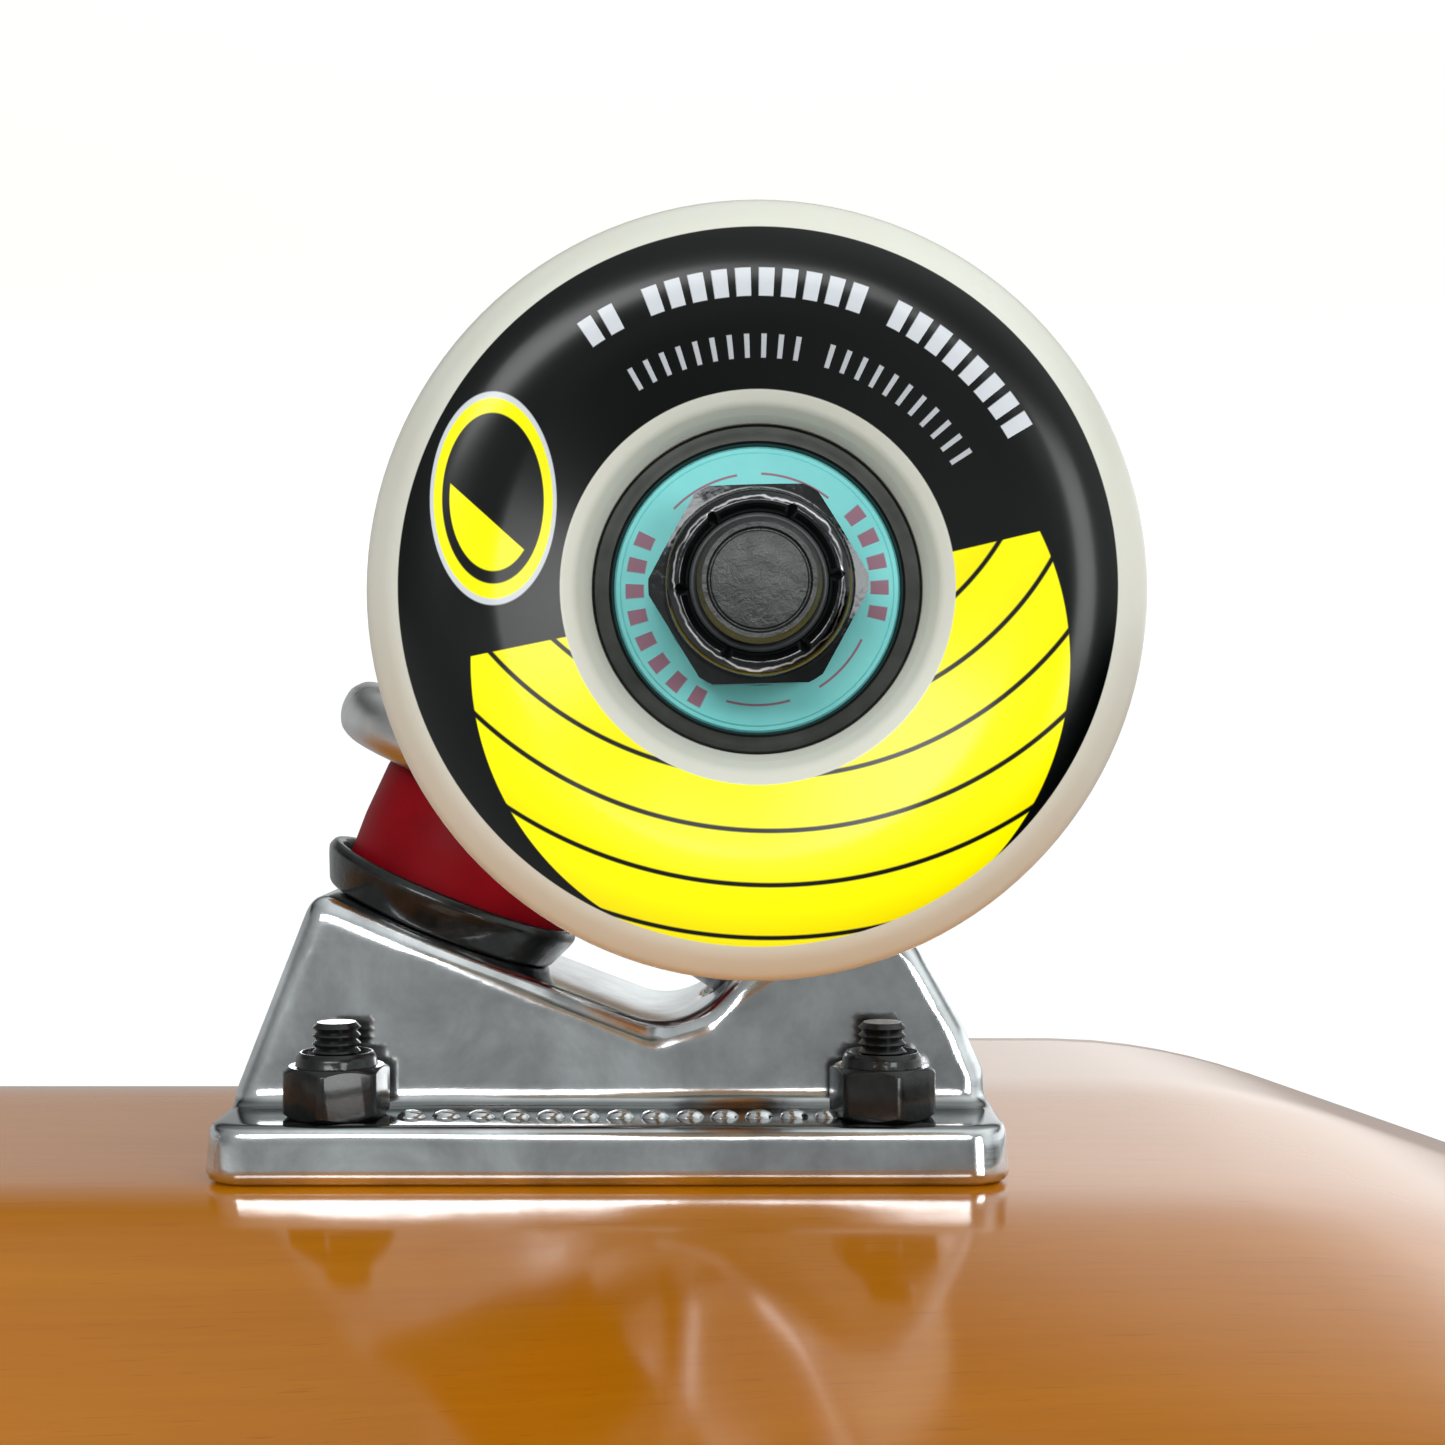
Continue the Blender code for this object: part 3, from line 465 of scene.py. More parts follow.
def stained_wood_paint():
    """The underside: amber-stained maple under a clear gloss lacquer, its grain along the length."""
    paint = Paint("stained_maple", (0.5, 0.17, 0.015), roughness=0.4, coat_weight=1.0, coat_roughness=0.10)
    paint.set("Coat IOR", 1.5)
    fibres = paint.noise(9, 8.0, 0.62, stretch=(3, 60, 60), distortion=0.3)
    bands = paint.noise(5, 3.0, 0.5, stretch=(0.9, 9, 9), distortion=1.2)
    pores = paint.noise(60, 2.0, 0.5, stretch=(2, 42, 42))
    tone = paint.mix(bands.above(0.5, 0.5), (0.55, 0.178, 0.001), (0.62, 0.218, 0.002))
    tone = paint.mix(fibres.above(0.52, 0.35) * 0.2, tone, (0.42, 0.122, 0.001))
    tone = paint.mix(pores.above(0.68, 0.06) * 0.25, tone, (0.24, 0.06, 0.001))
    paint.set("Base Color", tone)
    paint.set("Roughness", fibres * 0.2 + 0.3)
    paint.set("Specular IOR Level", 0.0)
    paint.bump(fibres * 0.5 + bands * 0.5, 0.00008, 0.2)
    return paint.material


def ply_paint(name, light, dark):
    """A maple ply's edge at the rail, sanded and sealed."""
    paint = Paint(name, light, roughness=0.5, coat_weight=0.12, coat_roughness=0.3)
    fibres = paint.noise(30, 6.0, 0.65, stretch=(6, 6, 60))
    ends = paint.noise(400, 2.0, 0.5)
    paint.set("Base Color", paint.mix(fibres * 0.7 + ends * 0.3, light, dark))
    paint.bump(fibres * 0.6 + ends * 0.4, 0.00005, 0.2)
    return paint.material


def grip_paint():
    """Black grit set in glue: dark grains with a few that glint."""
    paint = Paint("grip_tape", (0.012, 0.012, 0.013), roughness=0.9)
    grit = paint.noise(1700, 2.0, 0.5)
    coarse = paint.noise(420, 3.0, 0.6)
    dust = paint.noise(14, 5.0, 0.6)
    dark = paint.mix(dust.above(0.5, 0.4) * 0.5, (0.014, 0.014, 0.015), (0.034, 0.034, 0.035))
    paint.set("Base Color", paint.mix(grit.above(0.66, 0.03), dark, (0.20, 0.20, 0.21)))
    paint.set("Roughness", grit.above(0.68, 0.05) * -0.45 + 0.92)
    paint.bump(grit + coarse * 0.5, 0.0003, 0.9)
    return paint.material


def floor_paint():
    """Nearly as white as the sky that the camera sees, so that the floor has no edge."""
    paint = Paint("pale_floor", (0.40, 0.40, 0.40), roughness=0.9)
    speck = paint.noise(3, 2.0, 0.5)
    paint.set("Base Color", paint.mix(speck, (0.38, 0.38, 0.38), (0.42, 0.42, 0.42)))
    paint.set("Emission Color", (1, 1, 1, 1))
    paint.set("Emission Strength", 0.9)
    return paint.material


def make_paints():
    return {
        "urethane": urethane_paint(),
        "race": race_paint(),
        "shield": shield_paint(),
        "black": black_steel_paint(),
        "nut": nut_paint(),
        "nylon": nylon_paint(),
        "axle": axle_paint(),
        "polished": alloy_paint(
            "polished_aluminium", (0.93, 0.98, 1.0), (0.45, 0.46, 0.47),
            roughness=0.045, scratch=0.04, pits=0.06,
        ),
        "cast": alloy_paint(
            "cast_aluminium", (0.80, 0.80, 0.80), (0.62, 0.62, 0.62),
            roughness=0.2, scratch=0.08, pits=0.16,
        ),
        "red": red_paint(),
        "cup": cup_paint(),
        "stained": stained_wood_paint(),
        "maple": ply_paint("maple_ply", (0.62, 0.42, 0.22), (0.50, 0.31, 0.15)),
        "cross_ply": ply_paint("maple_cross_ply", (0.46, 0.27, 0.12), (0.34, 0.18, 0.07)),
        "amber_ply": ply_paint("amber_ply", (0.60, 0.20, 0.01), (0.42, 0.12, 0.006)),
        "grip": grip_paint(),
        "floor": floor_paint(),
    }


# Mesh helpers

def mesh_of(bm):
    bmesh.ops.recalc_face_normals(bm, faces=bm.faces)
    mesh = bpy.data.meshes.new("piece")
    bm.to_mesh(mesh)
    bm.free()
    return mesh


def smooth(mesh, angle=38):
    mesh.shade_smooth()
    mesh.set_sharp_from_angle(angle=math.radians(angle))
    return mesh


def rounded(points, radius, steps=4, ring=False):
    """A profile's points with each corner made an arc; a point's third number is its own radius."""
    result = []
    count = len(points)
    for index, point in enumerate(points):
        here = Vector(point[:2])
        if not ring and index in (0, count - 1):
            result.append(tuple(here))
            continue
        back = Vector(points[index - 1][:2]) - here
        ahead = Vector(points[(index + 1) % count][:2]) - here
        wanted = point[2] if len(point) > 2 else radius
        half = back.angle(ahead) / 2
        if wanted <= 0 or half > math.radians(88):
            result.append(tuple(here))
            continue
        reach = min(wanted / math.tan(half), 0.48 * back.length, 0.48 * ahead.length)
        arc = reach * math.tan(half)
        centre = here + (back.normalized() + ahead.normalized()).normalized() * (arc / math.sin(half))
        first = here + back.normalized() * reach - centre
        last = here + ahead.normalized() * reach - centre
        sweep = first.angle_signed(last)
        for step in range(steps + 1):
            spot = Matrix.Rotation(-sweep * step / steps, 2) @ first
            result.append(tuple(centre + spot))
    return result


def turned(profile, steps=64, slots=None):
    """A mesh turned about Z from (radius, height) points that run down its outer side."""
    bm = bmesh.new()
    rings = []
    for radius, height in profile:
        if radius < 1e-9:
            rings.append([bm.verts.new((0, 0, height))] * steps)
            continue
        angles = [2 * math.pi * step / steps for step in range(steps)]
        rings.append([bm.verts.new((radius * math.cos(a), radius * math.sin(a), height)) for a in angles])
    closed = all(radius > 1e-9 for radius, _ in profile)
    for index in range(len(profile) if closed else len(profile) - 1):
        upper = rings[index]
        lower = rings[(index + 1) % len(profile)]
        for step in range(steps):
            after = (step + 1) % steps
            corners = []
            for vert in (upper[step], lower[step], lower[after], upper[after]):
                if vert not in corners:
                    corners.append(vert)
            face = bm.faces.new(corners)
            if slots:
                face.material_index = slots[index]
    return mesh_of(bm)


def ring_mesh(profile, radius, arc_steps, steps, angle=38):
    """A ring turned about Z from a closed profile with its corners rounded."""
    return smooth(turned(rounded(profile, radius, arc_steps, ring=True), steps), angle)


def mirrored(upper):
    """A profile that goes on with its own reflection below Z = 0."""
    return upper + [(point[0], -point[1], *point[2:]) for point in reversed(upper)]


def thread(start, first_radius, second_radius, pitch, count):
    """The zigzag of a screw thread's profile, down from a height."""
    points = []
    for k in range(count):
        height = start - k * pitch
        points += [(first_radius, height), (second_radius, height - pitch / 2)]
    return points


def extruded(outline, low, high):
    """A flat outline in X and Y, thickened from one height to another."""
    bm = bmesh.new()
    base = bm.faces.new([bm.verts.new((x, y, low)) for x, y in outline])
    grown = bmesh.ops.extrude_face_region(bm, geom=[base])
    moved = [item for item in grown["geom"] if isinstance(item, bmesh.types.BMVert)]
    bmesh.ops.translate(bm, verts=moved, vec=(0, 0, high - low))
    return mesh_of(bm)


def lofted(sections, steps=32):
    """A closed tube along Y through ellipses: (y, centre x, centre z, half x, half z)."""
    bm = bmesh.new()
    rings = []
    for y, x, z, half_x, half_z in sections:
        angles = [2 * math.pi * step / steps for step in range(steps)]
        spots = [(x + half_x * math.cos(angle), y, z + half_z * math.sin(angle)) for angle in angles]
        rings.append([bm.verts.new(spot) for spot in spots])
    for one, two in zip(rings, rings[1:]):
        for step in range(steps):
            after = (step + 1) % steps
            bm.faces.new((one[step], two[step], two[after], one[after]))
    bm.faces.new(rings[0])
    bm.faces.new(rings[-1])
    return mesh_of(bm)


def temporary(mesh, matrix=None):
    obj = bpy.data.objects.new("temporary", mesh)
    bpy.context.scene.collection.objects.link(obj)
    if matrix is not None:
        obj.matrix_world = matrix
    return obj


def evaluated(obj):
    """The mesh with its modifiers applied, in world places; the temporary objects are removed."""
    bpy.context.view_layer.update()
    mesh = bpy.data.meshes.new_from_object(obj.evaluated_get(bpy.context.evaluated_depsgraph_get()))
    mesh.transform(obj.matrix_world)
    tools = [modifier.object for modifier in obj.modifiers if modifier.type == "BOOLEAN"]
    for old in [obj, *tools]:
        bpy.data.objects.remove(old, do_unlink=True)
    return mesh


def softened(mesh, width, segments=4, angle=25):
    """The mesh with its edges rounded where they turn by more than this angle."""
    obj = temporary(mesh)
    bevel = obj.modifiers.new("Rounding", "BEVEL")
    bevel.width = width
    bevel.segments = segments
    bevel.limit_method = "ANGLE"
    bevel.angle_limit = math.radians(angle)
    return evaluated(obj)


def combined(base, *steps):
    """Booleans on a mesh: each step is an operation and a mesh, with its matrix if it isn't in place."""
    obj = temporary(base)
    for operation, mesh, *matrix in steps:
        modifier = obj.modifiers.new(operation, "BOOLEAN")
        modifier.operation = operation
        modifier.solver = "EXACT"
        modifier.object = temporary(mesh, *matrix)
    return evaluated(obj)


def cast(mesh, voxel, passes):
    """Melts a joined mesh's corners and inner angles into the soft rounds of a casting."""
    obj = temporary(mesh)
    remesh = obj.modifiers.new("Remesh", "REMESH")
    remesh.mode = "VOXEL"
    remesh.voxel_size = voxel
    relax = obj.modifiers.new("Smooth", "SMOOTH")
    relax.iterations = passes
    relax.factor = 0.5
    result = evaluated(obj)
    result.shade_smooth()
    return result


def turn_x(angle):
    return Matrix.Rotation(angle, 4, "X")


def along(axis, origin=RING):
    """A frame at a point: its Z runs along an axis in the truck's middle plane, its Y is the truck's."""
    across = Vector((0, 1, 0)).cross(axis)
    matrix = Matrix((across, Vector((0, 1, 0)), axis)).transposed().to_4x4()
    return Matrix.Translation(origin) @ matrix


def truck_point(distance, axis, side=0.0):
    """A point along an axis from the ring's centre, and off it outboard, in the truck's frame."""
    across = Vector((0, 1, 0)).cross(axis)
    across *= math.copysign(1, across.x)
    return RING + axis * distance + across * side


STAND_UP = turn_x(RIGHT_ANGLE)


def upright(outline, half_thickness):
    """An outline of truck points, thickened both ways along Y."""
    mesh = extruded([(point.x, point.z) for point in outline], -half_thickness, half_thickness)
    mesh.transform(STAND_UP)
    return mesh


def add(name, mesh, matrix, body, paints, nodes=()):
    """Puts a piece in place, on its body, for its CAD nodes."""
    obj = bpy.data.objects.new(name, mesh)
    bpy.context.scene.collection.objects.link(obj)
    obj.matrix_world = matrix
    if not mesh.materials:
        for paint in paints:
            mesh.materials.append(paint)
    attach(obj, body)
    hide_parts(*nodes)
    return obj


# Wheels

def wheel_mesh():
    """A street wheel about Z: a round-shouldered tread, a crowned face and a hub lip round the bearing."""
    half = WHEEL_HALF_WIDTH
    upper = [
        (11.05 * MM, 12.2 * MM),
        (11.5 * MM, 13.0 * MM),
        (12.1 * MM, 13.9 * MM, 1.2 * MM),
        (12.95 * MM, 14.3 * MM),
        (17.5 * MM, 15.6 * MM, 8 * MM),
        (20.5 * MM, half, 10 * MM),
        (23.8 * MM, 15.1 * MM, 5 * MM),
        (WHEEL_RADIUS - 0.35 * MM, 11.8 * MM, 4 * MM),
        (WHEEL_RADIUS, 9.4 * MM, 5 * MM),
    ]
    inner = [(11.05 * MM, -5 * MM), (8.6 * MM, -5 * MM), (8.6 * MM, 5 * MM), (11.05 * MM, 5 * MM)]
    return ring_mesh(mirrored(upper) + inner, 0.35 * MM, 5, 128, 50)


def bearing_mesh():
    """An outer race and its two shields about Z; the shields are the second material."""
    face = BEARING_HALF_WIDTH
    upper = [
        (6.2 * MM, face - 0.55 * MM),
        (6.45 * MM, face - 0.3 * MM),
        (9.1 * MM, face - 0.3 * MM),
        (9.22 * MM, face - 0.42 * MM),
        (9.45 * MM, face - 0.42 * MM),
        (9.6 * MM, face - 0.62 * MM),
        (9.75 * MM, face - 0.12 * MM),
        (9.92 * MM, face),
        (10.85 * MM, face),
        (11.0 * MM, face - 0.15 * MM),
    ]
    profile = mirrored(upper)
    shield = [1, 1, 1, 1, 1]
    slots = shield + [0] * (len(profile) - 2 * len(shield) - 1) + shield + [1]
    return smooth(turned(profile, 96, slots), 30)


def stack_mesh():
    """Speed washer, inner race, spacer, inner race and speed washer, clamped on the axle."""
    upper = [
        (4.0 * MM, STACK_HALF_LENGTH),
        (5.6 * MM, STACK_HALF_LENGTH),
        (5.6 * MM, 12.05 * MM),
        (6.05 * MM, 12.0 * MM),
        (6.05 * MM, 5.1 * MM),
        (5.2 * MM, 5.0 * MM),
    ]
    return ring_mesh(mirrored(upper), 0.2 * MM, 2, 48)


def lock_nut_mesh(flats, hex_height, height, crown, insert, bore, notches=0):
    """A lock nut on its base at Z = 0: a hexagon with turned corners and a crown over its nylon ring."""
    corner = flats / 2 / math.cos(math.radians(30))
    turned_corner = corner - 0.28 * (corner - flats / 2)
    chamfer = 0.45 * MM
    blank = [
        (0, hex_height),
        (flats / 2 - 0.1 * MM, hex_height),
        (turned_corner, hex_height - chamfer),
        (turned_corner, chamfer),
        (flats / 2 - 0.1 * MM, 0),
        (0, 0),
    ]
    turns = [math.radians(60 * k) for k in range(6)]
    hexagon = [(corner * math.cos(turn), corner * math.sin(turn)) for turn in turns]
    roll = insert + 0.42 * (crown - insert)
    shoulder = [
        (0, height - 0.85 * MM),
        (insert, height - 0.85 * MM),
        (insert + 0.25 * MM, height - 0.3 * MM, 0.5 * MM),
        (roll, height + 0.08 * MM, 0.7 * MM),
        (crown - 0.25 * MM, height - 0.5 * MM, 0.9 * MM),
        (crown, hex_height - 1 * MM),
        (0, hex_height - 1 * MM),
    ]
    hole = [(0, 2 * height), (bore, 2 * height), (bore, -height), (0, -height)]
    steps = [
        ("INTERSECT", extruded(hexagon, -1 * MM, height)),
        ("UNION", turned(rounded(shoulder, 0, 6), 72)),
        ("DIFFERENCE", turned(hole, 48)),
    ]
    crimp = [(0, crown - 0.3 * MM), (1.35 * MM, insert - 0.9 * MM), (0, insert - 0.9 * MM)]
    for k in range(notches):
        turn = Matrix.Rotation(math.radians(360 / notches * k + 4), 4, "Z")
        lay = Matrix.Translation((0, 0, height + 0.05 * MM)) @ Matrix.Rotation(RIGHT_ANGLE, 4, "Y")
        steps.append(("DIFFERENCE", turned(crimp, 4), turn @ lay))
    return smooth(softened(combined(turned(blank, 72), *steps), 0.1 * MM, 2, 42), 32)


def insert_mesh(outer, bore, top):
    """A nylon locking ring, its top dished towards the bore."""
    profile = [
        (bore, top - 0.4 * MM),
        (bore + 0.25 * (outer - bore), top - 0.1 * MM),
        (bore + 0.6 * (outer - bore), top),
        (outer, top - 0.15 * MM),
        (outer, top - 1.6 * MM),
        (bore, top - 1.6 * MM),
    ]
    return ring_mesh(profile, 0.2 * MM, 3, 64, 50)


def axle_mesh():
    """A round bar with threaded, chamfered ends."""
    end = AXLE_HALF_LENGTH
    upper = [
        (0, end),
        (2.75 * MM, end),
        (3.02 * MM, end - 0.08 * MM),
        (3.12 * MM, end - 0.42 * MM),
        (3.2 * MM, end - 0.42 * MM),
        (3.34 * MM, end - 0.16 * MM),
        (3.62 * MM, end - 0.16 * MM),
        (3.86 * MM, end - 0.42 * MM),
        *thread(end - 0.9 * MM, AXLE_RADIUS, 3.45 * MM, 1.0 * MM, 12),
        (AXLE_RADIUS, end - 14 * MM),
    ]
    return smooth(turned(mirrored(upper), 48), 30)


# Truck

def rounded_rectangle(length, width, radius, steps=6):
    points = []
    for quarter, (side_x, side_y) in enumerate(((1, 1), (-1, 1), (-1, -1), (1, -1))):
        for step in range(steps + 1):
            angle = RIGHT_ANGLE * (quarter + step / steps)
            x = side_x * (length / 2 - radius) + radius * math.cos(angle)
            y = side_y * (width / 2 - radius) + radius * math.sin(angle)
            points.append((x, y))
    return points


def hole_places():
    for side_x in (-1, 1):
        for side_y in (-1, 1):
            yield side_x * HOLE_SPACING_X / 2, side_y * HOLE_SPACING_Y / 2


def baseplate_mesh():
    """A polished casting: a drafted flat plate that carries a leaning kingpin tower and a pivot tower."""
    base = extruded(rounded_rectangle(PLATE_LENGTH, PLATE_WIDTH, PLATE_CORNER), -PLATE_DROP, 0)
    for vert in base.vertices:
        if vert.co.z < 0:
            vert.co.x *= 1 - 2 * PLATE_DRAFT / PLATE_LENGTH
            vert.co.y *= 1 - 2 * PLATE_DRAFT / PLATE_WIDTH
    foot = -1.0 * MM
    outline = [
        Vector((-39.0 * MM, 0, foot)),
        Vector((-38.5 * MM, 0, -7.0 * MM)),
        truck_point(TOWER_TOP, KINGPIN_AXIS, -12.7 * MM),
        truck_point(TOWER_TOP, KINGPIN_AXIS, 12.4 * MM),
        Vector((4.4 * MM, 0, -13.6 * MM)),
        Vector((9.2 * MM, 0, -15.0 * MM)),
        Vector((12.2 * MM, 0, -18.2 * MM)),
        truck_point(CUP_MOUTH, PIVOT_AXIS, 9.4 * MM),
        Vector((27.9 * MM, 0, -25.6 * MM)),
        Vector((31.5 * MM, 0, -21.2 * MM)),
        Vector((35.9 * MM, 0, -13.4 * MM)),
        Vector((37.8 * MM, 0, -9.0 * MM)),
        Vector((38.4 * MM, 0, foot)),
    ]
    towers = softened(upright(outline, TOWER_HALF_WIDTH), 3.0 * MM, 6)
    for vert in towers.vertices:
        vert.co.y *= 1 + TOWER_DRAFT * (vert.co.z + TOWER_HEIGHT)
    flare_outline = rounded_rectangle(77.0 * MM, 34.2 * MM, 2.2 * MM)
    foot_flare = extruded(flare_outline, -PLATE_DROP - FLARE_HEIGHT, -PLATE_DROP + 1 * MM)
    for vert in foot_flare.vertices:
        if vert.co.z < -PLATE_DROP:
            vert.co.x *= 0.965
            vert.co.y *= 0.92
    neck_room = [
        (0, CUP_END),
        (5.4 * MM, CUP_END),
        (7.3 * MM, CUP_MOUTH - 0.2 * MM),
        (7.9 * MM, CUP_MOUTH - 0.6 * MM),
        (7.9 * MM, 18 * MM),
        (0, 18 * MM),
    ]
    joined = combined(
        softened(base, 0.9 * MM, 3),
        ("UNION", foot_flare),
        ("UNION", towers),
        ("DIFFERENCE", turned(neck_room, 48), along(PIVOT_AXIS)),
    )
    return cast(joined, 0.5 * MM, 4)


def bead_mesh():
    """One raised bead of the row cast on the plate."""
    profile = [(0, 0.75), (0.35, 0.72), (0.72, 0.5), (0.95, 0.15), (1.0, -0.4), (0, -0.4)]
    mesh = turned([(radius * BEAD_RADIUS, height * MM) for radius, height in profile], 24)
    mesh.transform(Matrix.Diagonal((1.15, 0.85, 0.95, 1)))
    return smooth(mesh, 60)


def hanger_mesh():
    """One casting: kingpin ring, web, wings that taper to the wheels, and the pivot stub."""
    ring = turned(rounded([
        (0, RING_HALF_THICKNESS),
        (RING_RADIUS, RING_HALF_THICKNESS, 2.6 * MM),
        (RING_RADIUS, RING_FLOOR, 2.9 * MM),
        (0, RING_FLOOR),
    ], 0), 64)
    wing = HANGER_HALF_WIDTH
    wings = lofted([
        (-wing, AXLE.x, AXLE.z, 7.9 * MM, 7.9 * MM),
        (-wing + 6 * MM, AXLE.x, AXLE.z, 8.0 * MM, 8.0 * MM),
        (-30 * MM, AXLE.x, AXLE.z + 0.8 * MM, 8.6 * MM, 9.4 * MM),
        (-10 * MM, AXLE.x, AXLE.z + 2.6 * MM, 9.2 * MM, 11.5 * MM),
        (10 * MM, AXLE.x, AXLE.z + 2.6 * MM, 9.2 * MM, 11.5 * MM),
        (30 * MM, AXLE.x, AXLE.z + 0.8 * MM, 8.6 * MM, 9.4 * MM),
        (wing - 6 * MM, AXLE.x, AXLE.z, 8.0 * MM, 8.0 * MM),
        (wing, AXLE.x, AXLE.z, 7.9 * MM, 7.9 * MM),
    ])
    web = upright([truck_point(distance * MM, axis, side * MM) for distance, axis, side in (
        (3.6, KINGPIN_AXIS, 13.8),
        (14.0, KINGPIN_AXIS, 13.4),
        (22.0, KINGPIN_AXIS, 13.0),
        (28.0, KINGPIN_AXIS, 24.0),
        (24.0, KINGPIN_AXIS, 27.5),
        (33.0, PIVOT_AXIS, 6.0),
        (33.0, PIVOT_AXIS, -4.0),
        (25.0, PIVOT_AXIS, -6.0),
        (-2.2, KINGPIN_AXIS, 15.8),
        (-2.2, KINGPIN_AXIS, 10.0),
        (3.6, KINGPIN_AXIS, 10.0),
    )], 9.0 * MM)
    stub = turned([
        (0, 45.8 * MM),
        (3.4 * MM, 45.6 * MM),
        (4.1 * MM, 44.6 * MM),
        (5.6 * MM, 36.5 * MM),
        (6.7 * MM, 33.5 * MM),
        (7.0 * MM, 14 * MM),
        (0, 14 * MM),
    ], 40)
    bore = turned([(0, 20 * MM), (6.6 * MM, 20 * MM), (6.6 * MM, -20 * MM), (0, -20 * MM)], 48)
    joined = combined(
        softened(web, 2.4 * MM),
        ("UNION", ring, along(KINGPIN_AXIS, RING + RING_SHIFT)),
        ("UNION", wings),
        ("UNION", stub, along(PIVOT_AXIS)),
        ("DIFFERENCE", bore, along(KINGPIN_AXIS)),
    )
    return cast(joined, 0.7 * MM, 7)


def cup_mesh():
    """The plastic cup that the hanger's pivot stub turns in."""
    profile = [
        (0, CUP_END),
        (5.3 * MM, CUP_END),
        (7.2 * MM, CUP_MOUTH),
        (7.9 * MM, 36.6 * MM),
        (7.9 * MM, 35.9 * MM),
        (6.4 * MM, 35.9 * MM),
        (4.3 * MM, 46.4 * MM),
        (0, 46.4 * MM),
    ]
    return smooth(turned(profile, 48))


def washer_mesh(radius, lip):
    """A cupped washer about Z, its lip up round the bushing."""
    profile = [
        (5.1 * MM, 1.5 * MM),
        (5.1 * MM, 0),
        (radius - 1.5 * MM, 0, 0.9 * MM),
        (radius - 0.3 * MM, lip, 0.8 * MM),
        (radius, 0.9 * MM + lip, 0.7 * MM),
        (radius - 0.4 * MM, 1.8 * MM + lip, 0.5 * MM),
        (radius - 1.3 * MM, 1.7 * MM + lip, 0.4 * MM),
        (radius - 1.7 * MM, 1.5 * MM, 0.6 * MM),
    ]
    return ring_mesh(profile[::-1], 0.2 * MM, 4, 80, 50)


def bushing_mesh(low_radius, high_radius, height):
    """A urethane bushing about Z, slightly barrelled, with rounded rims."""
    waist = (low_radius + high_radius) / 2 + 0.25 * MM
    profile = [
        (5.0 * MM, height),
        (high_radius, height, 1.1 * MM),
        (waist, height / 2, 12 * MM),
        (low_radius, 0, 1.1 * MM),
        (5.0 * MM, 0),
    ]
    return ring_mesh(profile, 0.3 * MM, 5, 72, 60)


def kingpin_mesh():
    """A bolt along Z through the ring's centre, threaded at its free end, its head in the baseplate."""
    end = KINGPIN_END
    profile = [
        (0, end),
        (KINGPIN_RADIUS - 0.9 * MM, end),
        (KINGPIN_RADIUS - 0.6 * MM, end - 0.3 * MM),
        *thread(end - 0.8 * MM, KINGPIN_RADIUS, KINGPIN_RADIUS - 0.55 * MM, 1.06 * MM, 9),
        (KINGPIN_RADIUS, end - 11 * MM),
        (KINGPIN_RADIUS, KINGPIN_HEAD),
        (8.6 * MM, KINGPIN_HEAD),
        (8.6 * MM, -37.4 * MM),
        (0, -37.4 * MM),
    ]
    return smooth(turned(profile, 48), 30)


def mounting_bolt_mesh():
    """A countersunk bolt along Z with a cross recess, its threaded tip under the nut."""
    head_top = DECK_THICKNESS + GRIP_THICKNESS - 0.1 * MM
    head = 4.7 * MM
    tip = -15 * MM
    profile = [
        (0, head_top),
        (head - 0.25 * MM, head_top),
        (head, head_top - 0.35 * MM),
        (BOLT_RADIUS, head_top - 2.7 * MM),
        (BOLT_RADIUS, -8 * MM),
        *thread(-8.5 * MM, 2.0 * MM, BOLT_RADIUS, 0.8 * MM, 8),
        (1.9 * MM, tip),
        (0, tip),
    ]
    blank = turned(profile, 40)
    slot = [(-2.5 * MM, -0.45 * MM), (2.5 * MM, -0.45 * MM), (2.5 * MM, 0.45 * MM), (-2.5 * MM, 0.45 * MM)]
    low = head_top - 1.5 * MM
    clear = head_top + 1 * MM
    eye = turned([(0, clear), (1.5 * MM, clear), (0.9 * MM, low - 0.5 * MM), (0, low - 0.5 * MM)], 24)
    bolt = combined(
        blank,
        ("DIFFERENCE", extruded(slot, low, clear)),
        ("DIFFERENCE", extruded(slot, low, clear), Matrix.Rotation(RIGHT_ANGLE, 4, "Z")),
        ("DIFFERENCE", eye),
    )
    return smooth(bolt, 30)


# Deck

def smooth_step(value):
    value = min(max(value, 0.0), 1.0)
    return value * value * (3 - 2 * value)


def deck_rise(x, y):
    """How far the deck's underside rises above its flat middle, x from midway between the trucks."""
    outboard = abs(x) - TRUCK_SPACING
    side = abs(y) - CONCAVE_FLAT
    if side <= 0:
        concave = 0.0
    elif side < CONCAVE_BLEND:
        concave = CONCAVE_SLOPE * side * side / (2 * CONCAVE_BLEND)
    else:
        concave = CONCAVE_SLOPE * (side - CONCAVE_BLEND / 2)
    fade = smooth_step((outboard + CONCAVE_FADE) / (2 * CONCAVE_FADE))
    concave *= 1 + (CONCAVE_AT_KICK - 1) * fade
    past = outboard - KICK_START
    if past <= 0:
        kick = 0.0
    elif past < KICK_BEND:
        kick = KICK_SLOPE * past * past / (2 * KICK_BEND)
    else:
        kick = KICK_SLOPE * (past - KICK_BEND / 2)
    return concave + kick


def deck_place(u, v, inset):
    """A point of the deck's plan from a square's: u along the length and v across, both -1 to 1."""
    nose = TRUCK_SPACING + NOSE_REACH
    tail = TRUCK_SPACING + TAIL_REACH
    x = u * nose if u > 0 else u * tail
    y = v * (DECK_HALF_WIDTH - inset)
    end = 1 if u > 0 else -1
    start = (nose if u > 0 else tail) - ROUND_END
    reach = (abs(x) - start) / ROUND_END
    if reach > 0:
        x = end * (start + (ROUND_END - inset) * reach * math.sqrt(1 - v * v / 2))
        y *= math.sqrt(1 - reach * reach / 2)
    return x, y


